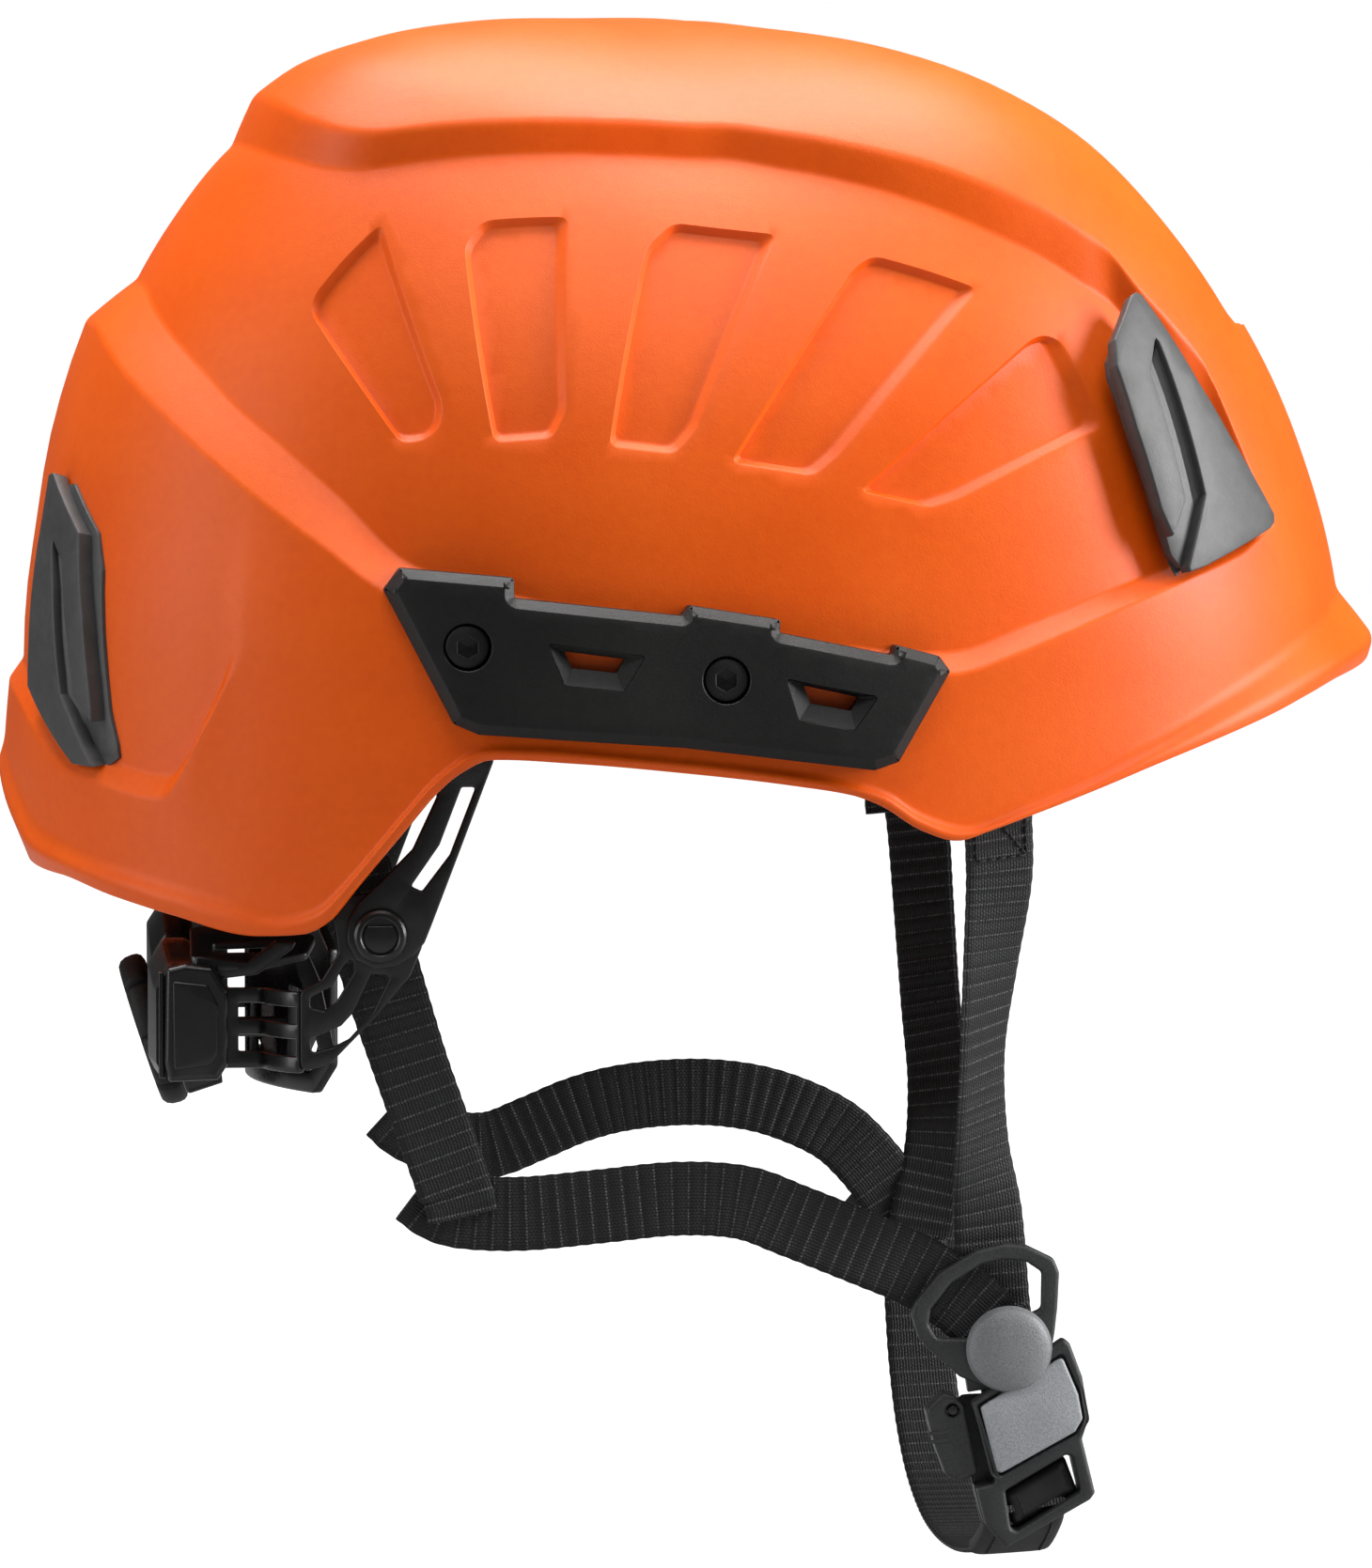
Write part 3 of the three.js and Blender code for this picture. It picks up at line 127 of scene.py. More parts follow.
def dome_sheet(bearing, elevation):
    """A flat sheet touching the dome, u to the front, v up, w the level.
    Gives the ways (u, v, w) to xyz, (bearing, elevation) to (u, v), and (u, v) back."""
    tb, te = math.radians(bearing), math.radians(elevation)
    out = np.array([math.cos(te) * math.cos(tb), math.cos(te) * math.sin(tb), math.sin(te)])
    up = np.array([-math.sin(te) * math.cos(tb), -math.sin(te) * math.sin(tb), math.cos(te)])
    front = np.array([math.sin(tb), -math.cos(tb), 0.0]) * (1 if math.sin(tb) > 0 else -1)
    radius = float(base_radius(bearing, elevation))

    def to_polar(u, v):
        q = (out * radius + np.multiply.outer(np.asarray(u, float), front)
             + np.multiply.outer(np.asarray(v, float), up))
        length = np.linalg.norm(q, axis=-1)
        return np.degrees(np.arctan2(q[..., 1], q[..., 0])), np.degrees(np.arcsin(q[..., 2] / length))

    def to_xyz(u, v, w):
        return on_dome(*to_polar(u, v), w)

    def to_sheet(b, e):
        b, e = math.radians(b), math.radians(e)
        q = np.array([math.cos(e) * math.cos(b), math.cos(e) * math.sin(b), math.sin(e)])
        q = q * radius / np.dot(q, out)
        return np.array([np.dot(q, front), np.dot(q, up)])
    return to_xyz, to_sheet, to_polar


# ------------------------------------------------------------------ objects
def add(name, part, material, body=None, node=None, sharp=32, uv=None):
    "makes an object of a part; node is the CAD piece it replaces, body the one it rides on"
    verts, faces = part
    mesh = bpy.data.meshes.new(name)
    mesh.from_pydata((np.asarray(verts, float) * 0.001).tolist(), [],
                     [tuple(int(i) for i in face) for face in faces])
    mesh.validate()
    mesh.update()
    if uv is not None:
        layer = mesh.uv_layers.new(name="UVMap")
        corner = np.zeros(len(mesh.loops), np.int32)
        mesh.loops.foreach_get("vertex_index", corner)
        layer.data.foreach_set("uv", np.asarray(uv, np.float32)[corner].ravel())
    mesh.shade_smooth()
    if sharp is not None:
        mesh.set_sharp_from_angle(angle=math.radians(sharp))
    ob = bpy.data.objects.new(name, mesh)
    COLLECTION.objects.link(ob)
    mesh.materials.append(material)
    if node:
        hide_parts(node)
    if body:
        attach(ob, body)
    return ob


def fix_normals(ob):
    bm = bmesh.new()
    bm.from_mesh(ob.data)
    bmesh.ops.recalc_face_normals(bm, faces=bm.faces)
    bm.to_mesh(ob.data)
    bm.free()
    return ob


def mirror(part):
    "the part reflected to the wearer's other side"
    verts = np.array(part[0], float)
    verts[:, 1] *= -1
    return verts, [tuple(reversed(face)) for face in part[1]]


def add_pair(name, part, material, body, node, sharp=32):
    "the right piece (-Y) and its mirror image"
    add("right_" + name, part, material, body, "right_" + node, sharp)
    add("left_" + name, mirror(part), material, body, "left_" + node, sharp)


def merge(*parts):
    points, faces, first = [], [], 0
    for verts, part_faces in parts:
        verts = np.asarray(verts, float)
        points.append(verts)
        faces += [tuple(i + first for i in face) for face in part_faces]
        first += len(verts)
    return np.vstack(points), faces


def bake(ob):
    "applies the object's modifiers"
    graph = bpy.context.evaluated_depsgraph_get()
    mesh = bpy.data.meshes.new_from_object(
        ob.evaluated_get(graph), preserve_all_data_layers=True, depsgraph=graph)
    old = ob.data
    ob.modifiers.clear()
    ob.data = mesh
    mesh.name = old.name
    if old.users == 0:
        bpy.data.meshes.remove(old)


def from_cad(node, name, material, body, bevel, steps=3):
    "a fine version of a CAD solid: flat faces joined up, then every edge rounded"
    source = bpy.data.objects[node]
    mesh = source.data.copy()
    mesh.name = name
    mesh.materials.clear()
    mesh.materials.append(material)
    bm = bmesh.new()
    bm.from_mesh(mesh)
    bmesh.ops.remove_doubles(bm, verts=bm.verts, dist=1e-6)
    bmesh.ops.dissolve_limit(bm, angle_limit=math.radians(1.5), verts=bm.verts, edges=bm.edges)
    bmesh.ops.recalc_face_normals(bm, faces=bm.faces)
    bm.to_mesh(mesh)
    bm.free()
    ob = bpy.data.objects.new(name, mesh)
    COLLECTION.objects.link(ob)
    ob.matrix_world = source.matrix_world.copy()
    rounding = ob.modifiers.new("b", "BEVEL")
    rounding.width = bevel * 0.001
    rounding.segments = steps
    rounding.limit_method = "ANGLE"
    rounding.angle_limit = math.radians(28)
    rounding.use_clamp_overlap = True
    rounding.harden_normals = False
    bake(ob)
    ob.data.shade_smooth()
    ob.data.set_sharp_from_angle(angle=math.radians(35))
    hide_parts(node)
    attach(ob, body)


# ------------------------------------------------------------------ outlines
def area(polygon):
    "positive when anticlockwise"
    x, y = np.asarray(polygon, float).T
    return 0.5 * np.sum(x * np.roll(y, -1) - np.roll(x, -1) * y)


def ccw(polygon):
    "the polygon, turned anticlockwise"
    polygon = np.asarray(polygon, float)
    return polygon if area(polygon) > 0 else polygon[::-1].copy()


def arc_point(start, corner, end, t):
    return (1 - t) ** 2 * start + 2 * t * (1 - t) * corner + t * t * end


def rounded(polygon, radius, steps):
    points = np.asarray(polygon, float)
    out = []
    for i, corner in enumerate(points):
        back = points[i - 1] - corner
        ahead = points[(i + 1) % len(points)] - corner
        back_length, ahead_length = np.linalg.norm(back), np.linalg.norm(ahead)
        if back_length < 1e-6 or ahead_length < 1e-6:
            continue
        back /= back_length
        ahead /= ahead_length
        angle = math.acos(np.clip(np.dot(back, ahead), -1, 1))
        if angle > math.pi - 0.06:   # all but straight
            out.append(corner)
            continue
        cut = min(radius / math.tan(angle / 2), 0.45 * back_length, 0.45 * ahead_length)
        start, end = corner + back * cut, corner + ahead * cut
        out += [arc_point(start, corner, end, k / steps) for k in range(steps + 1)]
    return np.array(out)


def resample(polygon, spacing):
    "adds points on the long edges"
    points = np.asarray(polygon, float)
    out = []
    for a, b in zip(points, np.roll(points, -1, 0)):
        n = max(1, int(math.ceil(np.linalg.norm(b - a) / spacing)))
        out += [a + (b - a) * k / n for k in range(n)]
    return np.array(out)


def loop(points, radius, steps=3, spacing=None):
    "anticlockwise outline with rounded corners, with points at the spacing if one is given"
    shape = rounded(ccw(points), radius, steps)
    return resample(shape, spacing) if spacing else shape


def rect(u0, u1, v0, v1):
    return [[u0, v0], [u1, v0], [u1, v1], [u0, v1]]


def circle(u, v, radius, count=32):
    return [(u + radius * math.cos(2 * math.pi * i / count),
             v + radius * math.sin(2 * math.pi * i / count)) for i in range(count)]


def inset(polygon, distance):
    "moves each corner of an anticlockwise polygon inwards, or outwards when negative"
    points = np.asarray(polygon, float)
    edge = np.roll(points, -1, 0) - points
    length = np.linalg.norm(edge, axis=1, keepdims=True)
    length[length < 1e-9] = 1
    edge = edge / length
    normal = np.stack([-edge[:, 1], edge[:, 0]], 1)
    mean = np.roll(normal, 1, 0) + normal
    length = np.linalg.norm(mean, axis=1, keepdims=True)
    length[length < 1e-6] = 1
    mean = mean / length
    return points + mean * distance / np.clip(np.sum(mean * normal, 1, keepdims=True), 0.45, 1)


def inside(point, polygon):
    x, y = point
    result = False
    j = len(polygon) - 1
    for i in range(len(polygon)):
        xi, yi = polygon[i]
        xj, yj = polygon[j]
        if (yi > y) != (yj > y) and x < (xj - xi) * (y - yi) / (yj - yi + 1e-12) + xi:
            result = not result
        j = i
    return result


# ------------------------------------------------------------------ parts
def band(a, b, count):
    "quads between two rings of count points that start at vertices a and b"
    return [(a + i, a + (i + 1) % count, b + (i + 1) % count, b + i) for i in range(count)]


def walls(starts, count):
    return [quad for a, b in zip(starts[:-1], starts[1:]) for quad in band(a, b, count)]


def stack_faces(rows, count, capped=False):
    "faces of rings stored one after another, with or without end caps"
    faces = walls(range(0, rows * count, count), count)
    if capped:
        faces.append(tuple(range(count))[::-1])
        faces.append(tuple((rows - 1) * count + k for k in range(count)))
    return faces


def fill(mesh, rims, index, place, up, pitch=None, gap=0, offset=0, clip=False, epsilon=1e-7):
    """Fills the first rim with triangles, leaving out the other rims. Rims are 2D points and index
    holds their vertex numbers. New points stand on a grid, gap away from the rims, and
    place(u, v) gives their vertices; clip keeps them to the filled area."""
    verts, faces = mesh
    holes = rims[1:]
    points = [Vector(p) for rim in rims for p in rim]
    edges = []
    for rim in rims:
        first = len(edges)
        edges += [(first + i, first + (i + 1) % len(rim)) for i in range(len(rim))]
    if pitch:
        flat = np.array([p[:] for p in points])
        low, high = flat.min(0), flat.max(0)
        outer = flat[:len(rims[0])].tolist()
        for u in np.arange(low[0] + offset, high[0], pitch):
            for v in np.arange(low[1] + offset, high[1], pitch):
                if clip and (not inside((u, v), outer) or any(inside((u, v), h) for h in holes)):
                    continue
                if np.min(np.hypot(flat[:, 0] - u, flat[:, 1] - v)) > gap:
                    points.append(Vector((u, v)))
    spots, _, triangles, origins, _, _ = delaunay_2d_cdt(points, edges, [], 1, epsilon)
    number = []
    for spot, origin in zip(spots, origins):
        known = [index[i] for i in origin if i < len(index)]
        if known:
            number.append(known[0])
        else:
            number.append(len(verts))
            verts.append(place(spot[0], spot[1]))
    for triangle in triangles:
        corners_2d = np.array([spots[i][:] for i in triangle])
        if any(inside(np.mean(corners_2d, 0), h) for h in holes):
            continue
        face = [number[i] for i in triangle]
        faces.append(tuple(face if (area(corners_2d) > 0) == up else face[::-1]))


def slab(outline, back, front, place, holes=(), bevel=(0.3, 0.3), steps=3, grid=None):
    """A plate with rounded edges between w = back and w = front; place(u, v, w) gives xyz.
    bevel is for the back and the front; grid adds inner points so that it can follow a curve."""
    loops = [ccw(outline)] + [ccw(h)[::-1] for h in holes]
    angles = [math.pi / 2 * k / steps for k in range(steps + 1)]
    layers = [(bevel[0] * (1 - math.sin(a)), back + bevel[0] * (1 - math.cos(a)))
              for a in angles]
    layers += [(bevel[1] * (1 - math.cos(a)), front - bevel[1] * (1 - math.sin(a)))
               for a in angles]
    verts, faces, starts = [], [], []
    for points in loops:
        rows = []
        for depth, w in layers:
            rows.append(len(verts))
            verts += [(u, v, w) for u, v in inset(points, depth)]
        starts.append(rows)
        faces += walls(rows, len(points))
    for row, w, up in ((0, back, False), (-1, front, True)):
        index = [[rows[row] + i for i in range(len(points))]
                 for points, rows in zip(loops, starts)]
        rims = [[verts[i][:2] for i in rim] for rim in index]
        fill((verts, faces), rims, sum(index, []), lambda u, v: (u, v, w), up, grid,
             gap=(grid or 0) * 0.5, offset=(grid or 0) / 2, epsilon=1e-6)
    return place(*np.array(verts, float).T), faces


def side_plane(y):
    "u = x, v = z, w towards the wearer's right from the plane y"
    return lambda u, v, w: np.stack([u, y - w, v], -1)


def lathe(profile, count, origin, axis, lobes=None):
    "revolves (radius, height) pairs round an axis; a first or last radius of 0 closes the end"
    axis = np.array(axis, float)
    axis /= np.linalg.norm(axis)
    across = np.cross(axis, (0, 0, 1))
    if np.linalg.norm(across) < 1e-6:
        across = np.cross(axis, (1, 0, 0))
    across /= np.linalg.norm(across)
    other = np.cross(axis, across)
    verts, faces, rows = [], [], []
    for radius, height in profile:
        centre = np.array(origin) + axis * height
        if radius < 1e-6:
            rows.append([len(verts)])
            verts.append(centre)
            continue
        rows.append(range(len(verts), len(verts) + count))
        for i in range(count):
            a = 2 * math.pi * i / count
            r = lobes(radius, a) if lobes else radius
            verts.append(centre + r * (math.cos(a) * across + math.sin(a) * other))
    for low, high in zip(rows[:-1], rows[1:]):
        for i in range(count):
            j = (i + 1) % count
            if len(low) == 1:
                faces.append((low[0], high[j], high[i]))
            elif len(high) == 1:
                faces.append((low[i], low[j], high[0]))
            else:
                faces.append((low[i], low[j], high[j], high[i]))
    return np.array(verts), [face[::-1] for face in faces]


def spline(rows, count):
    "Catmull-Rom through the rows, count samples a span, ends kept"
    rows = np.asarray(rows, float)
    padded = np.vstack([2 * rows[0] - rows[1], rows, 2 * rows[-1] - rows[-2]])
    out = []
    for p0, p1, p2, p3 in zip(padded, padded[1:], padded[2:], padded[3:]):
        for k in range(count):
            t = k / count
            out.append(0.5 * ((2*p1) + (-p0+p2)*t + (2*p0-5*p1+4*p2-p3)*t*t
                              + (-p0+3*p1-3*p2+p3)*t**3))
    out.append(rows[-1])
    return np.array(out)


def even(line, step):
    "a dense polyline (first 3 columns are the place) at an even spacing, and the distances"
    d = np.r_[0, np.cumsum(np.linalg.norm(np.diff(line[:, :3], axis=0), axis=1))]
    t = np.linspace(0, d[-1], max(2, int(round(d[-1] / step)) + 1))
    return np.stack([np.interp(t, d, line[:, k]) for k in range(line.shape[1])], 1), t


# ------------------------------------------------------------------ materials
def linear(red, green, blue):
    "linear colour from 8-bit sRGB"
    def channel_value(c):
        c /= 255
        return c / 12.92 if c <= 0.04045 else ((c + 0.055) / 1.055) ** 2.4
    return (channel_value(red), channel_value(green), channel_value(blue), 1.0)


class Material:
    "a node material; each method adds a node and gives its output"
    def __init__(self, name):
        self.material = bpy.data.materials.new(name)
        self.material.use_nodes = True
        self.tree = self.material.node_tree
        self.shader = self.tree.nodes["Principled BSDF"]
        coordinates = self.tree.nodes.new("ShaderNodeTexCoord")
        self.place = coordinates.outputs["Object"]
        self.uv = coordinates.outputs["UV"]

    def put(self, socket, value):
        if isinstance(value, bpy.types.NodeSocket):
            self.tree.links.new(value, socket)
        else:
            socket.default_value = value

    def node(self, kind, inputs, out=0, **settings):
        node = self.tree.nodes.new("ShaderNode" + kind)
        for key, value in settings.items():
            setattr(node, key, value)
        for key, value in inputs.items():
            self.put(node.inputs[key], value)
        return node.outputs[out]

    def noise(self, scale, detail, rough=0.55):
        return self.node("TexNoise", {"Vector": self.place, "Scale": scale, "Detail": detail,
                                      "Roughness": rough})

    def cells(self, scale, feature="F1", randomness=1.0, out=0):
        return self.node("TexVoronoi", {"Vector": self.place, "Scale": scale,
                                        "Randomness": randomness}, out, feature=feature)

    def calc(self, operation, a, b=0.0, clamp=False):
        return self.node("Math", {0: a, 1: b}, operation=operation, use_clamp=clamp)

    def times(self, a, b, clamp=False):
        return self.calc("MULTIPLY", a, b, clamp)

    def plus(self, a, b):
        return self.calc("ADD", a, b)

    def weigh(self, a, share_a, b, share_b):
        return self.plus(self.times(a, share_a), self.times(b, share_b))

    def ripple(self, value, pitch):
        "a half sine wave that repeats at the pitch"
        return self.calc("ABSOLUTE", self.calc("SINE", self.times(value, math.pi / pitch)))

    def remap(self, value, span, to=(0, 1)):
        return self.node("MapRange", {"Value": value, "From Min": span[0], "From Max": span[1],
                                      "To Min": to[0], "To Max": to[1]})

    def mix(self, share, a, b):
        node = self.tree.nodes.new("ShaderNodeMix")
        node.data_type = "RGBA"
        for socket, value in ((0, share), (6, a), (7, b)):
            self.put(node.inputs[socket], value)
        return node.outputs[2]

    def bump(self, height, strength, distance):
        return self.node("Bump", {"Height": height, "Strength": strength, "Distance": distance})

    def finish(self, color, rough, normal, metal=0.0, spec=0.5, **more):
        inputs = {"Base Color": color, "Roughness": rough, "Metallic": metal,
                  "Specular IOR Level": spec, "Normal": normal}
        inputs.update((key.replace("_", " "), value) for key, value in more.items())
        for key, value in inputs.items():
            self.put(self.shader.inputs[key], value)
        return self.material


def moulded(name, dark, light, rough, grain, relief, spec=0.5):
    "moulded plastic: spark-eroded grain, slow drift in colour and gloss"
    g = Material(name)
    slow = g.noise(scale=28, detail=2)
    fine = g.noise(scale=grain, detail=4, rough=0.65)
    middle = g.noise(scale=grain / 5, detail=3)
    tint = g.remap(g.weigh(slow, 0.6, middle, 0.4), span=(0.35, 0.65))
    color = g.mix(tint, linear(*dark), linear(*light))
    gloss = g.remap(g.weigh(fine, 0.5, slow, 0.5), span=(0.3, 0.7), to=rough)
    normal = g.bump(g.plus(fine, g.times(middle, 0.5)), strength=relief, distance=0.00012)
    return g.finish(color, gloss, normal, spec=spec)


def speckled(name, dark, light, rough):
    "moulded plastic with a coarse spark-eroded face that glitters a little"
    grain = 2900
    g = Material(name)
    coarse = g.noise(scale=grain, detail=3, rough=0.6)
    fine = g.noise(scale=grain * 2.4, detail=2)
    slow = g.noise(scale=40, detail=2)
    tint = g.remap(g.weigh(coarse, 0.7, slow, 0.3), span=(0.38, 0.62))
    color = g.mix(tint, linear(*dark), linear(*light))
    gloss = g.remap(fine, span=(0.3, 0.7), to=rough)
    normal = g.bump(g.plus(coarse, g.times(fine, 0.4)), strength=0.6, distance=0.00016)
    return g.finish(color, gloss, normal)


def foam():
    "foam of fused beads, each with its own shade"
    g = Material("foam_eps")
    bead = 300.0
    border = g.cells(scale=bead, feature="DISTANCE_TO_EDGE")
    shade = g.node("SeparateColor", {"Color": g.cells(scale=bead, out=1)})
    edge = g.remap(border, span=(0.0, 0.12))
    tint = g.times(edge, g.remap(shade, span=(0, 1), to=(0.45, 1.0)))
    color = g.mix(tint, linear(30, 31, 32), linear(66, 67, 69))
    relief = g.weigh(edge, 0.6, g.noise(scale=1600, detail=3), 0.3)
    return g.finish(color, 0.86, g.bump(relief, strength=0.6, distance=0.0003), spec=0.3)


def fabric():
    "knitted mesh: offset rows of small holes"
    g = Material("pad_fabric")
    knit = g.cells(scale=620, randomness=0.25)
    fibre = g.noise(scale=5200, detail=3, rough=0.7)
    slow = g.noise(scale=60, detail=2)
    hole = g.remap(knit, span=(0.15, 0.5))
    tint = g.times(hole, g.remap(slow, span=(0.3, 0.7), to=(0.7, 1)))
    color = g.mix(tint, linear(17, 17, 19), linear(48, 49, 53))
    normal = g.bump(g.plus(hole, g.times(fibre, 0.5)), strength=0.55, distance=0.00035)
    return g.finish(color, 0.93, normal, spec=0.2, Sheen_Weight=0.35, Sheen_Roughness=0.5)


def woven():
    """"woven strap with painted sheen, shade and glints: UV x runs across and y along, both in
    millimetres"
    """
    yarn_pitch, twist_pitch, rib_pitch = 0.65, 0.78, 3.3
    g = Material("webbing")
    across = g.node("SeparateXYZ", {"Vector": g.uv}, 0)
    along = g.node("SeparateXYZ", {"Vector": g.uv}, 1)
    yarn = g.ripple(across, yarn_pitch)
    column = g.calc("FLOOR", g.calc("DIVIDE", across, yarn_pitch))
    # every other yarn is set on by 0.32 mm
    odd = g.calc("MODULO", g.calc("ABSOLUTE", column), 2.0)
    twist = g.ripple(g.plus(along, g.times(odd, 0.32)), twist_pitch)
    rib = g.ripple(along, rib_pitch)
    seam = g.calc("POWER", g.calc("SUBTRACT", 1.0, rib), 9.0)
    dash = g.calc("POWER", g.ripple(across, yarn_pitch), 1.5)
    fibre = g.noise(scale=9000, detail=2, rough=0.6)
    # painted light of the weave: each yarn and twist is lighter at its crown and darker at its sides
    # (painted shade), each rib lighter on top (painted sheen) and darker in its dips (painted shade);
    # the fibre noise adds a random tone
    yarn_relief_and_shade = g.times(g.calc("POWER", yarn, 0.6), g.plus(0.55, g.times(twist, 0.45)))
    light = g.times(yarn_relief_and_shade, g.plus(0.3, g.times(g.calc("POWER", rib, 0.7), 0.7)))
    light = g.times(light, g.remap(fibre, span=(0.3, 0.7), to=(0.75, 1.1)), clamp=True)
    color = g.mix(light, linear(2, 2, 2), linear(23, 24, 25))
    # painted glints: pale dashes in the dips between the ribs, broken up by noise
    painted_glint_dashes = g.times(seam, dash)
    glint_breakup = g.remap(g.noise(scale=1800, detail=2), span=(0.35, 0.6), to=(0.1, 1.0))
    color = g.mix(g.times(painted_glint_dashes, glint_breakup, clamp=True), color, linear(135, 135, 137))
    normal = g.bump(g.plus(yarn_relief_and_shade, g.times(fibre, 0.2)), strength=0.7, distance=0.00022)
    gloss = g.remap(light, span=(0, 1), to=(0.75, 0.5))
    return g.finish(color, gloss, normal, spec=0.4, Sheen_Weight=0.04, Sheen_Roughness=0.4)


def bright_steel():
    g = Material("steel")
    fine = g.noise(scale=900, detail=4, rough=0.6)
    slow = g.noise(scale=90, detail=2)
    color = g.mix(fine, linear(92, 93, 95), linear(128, 129, 132))
    gloss = g.remap(g.weigh(fine, 0.5, slow, 0.5), span=(0.3, 0.7), to=(0.24, 0.4))
    return g.finish(color, gloss, g.bump(fine, strength=0.15, distance=0.0001), metal=1.0)


ORANGE = moulded("shell_orange", dark=(236, 88, 1), light=(243, 97, 2), rough=(0.38, 0.5),
                 grain=2300, relief=0.4, spec=0.32)
RAIL_BLACK = moulded("rail_black", dark=(15, 14, 14), light=(24, 23, 22), rough=(0.44, 0.58),
                     grain=1900, relief=0.42, spec=0.36)
NYLON = moulded("nylon_black", dark=(14, 14, 15), light=(22, 22, 23), rough=(0.24, 0.36),
                grain=2600, relief=0.12)
BAND_BLACK = moulded("band_black", dark=(15, 15, 16), light=(24, 24, 25), rough=(0.27, 0.38),
                     grain=2400, relief=0.18)
CLIP_GREY = moulded("clip_grey", dark=(58, 57, 57), light=(74, 73, 73), rough=(0.42, 0.55),
                    grain=2100, relief=0.32)
PLATE_GREY = speckled("buckle_grey", dark=(148, 151, 155), light=(180, 183, 187),
                      rough=(0.4, 0.52))
CASE_GREY = speckled("case_grey", dark=(40, 41, 42), light=(56, 57, 58), rough=(0.36, 0.5))
RUBBER = moulded("grip_rubber", dark=(15, 15, 15), light=(24, 24, 24), rough=(0.55, 0.7),
                 grain=1500, relief=0.5, spec=0.4)
FOAM = foam()
FABRIC = fabric()
WEBBING = woven()
STEEL = bright_steel()
DARK_STEEL = moulded("steel_blackened", dark=(26, 26, 27), light=(44, 44, 45),
                     rough=(0.3, 0.44), grain=1200, relief=0.3)
THREAD = moulded("thread_black", dark=(22, 22, 23), light=(40, 40, 41), rough=(0.6, 0.8),
                 grain=4000, relief=0.3)
CAP_GREY = speckled("cap_grey", dark=(112, 114, 116), light=(142, 144, 146), rough=(0.3, 0.44))
SLEEVE_BLACK = moulded("sleeve_black", dark=(23, 23, 24), light=(38, 38, 39),
                       rough=(0.5, 0.68), grain=1700, relief=0.5)

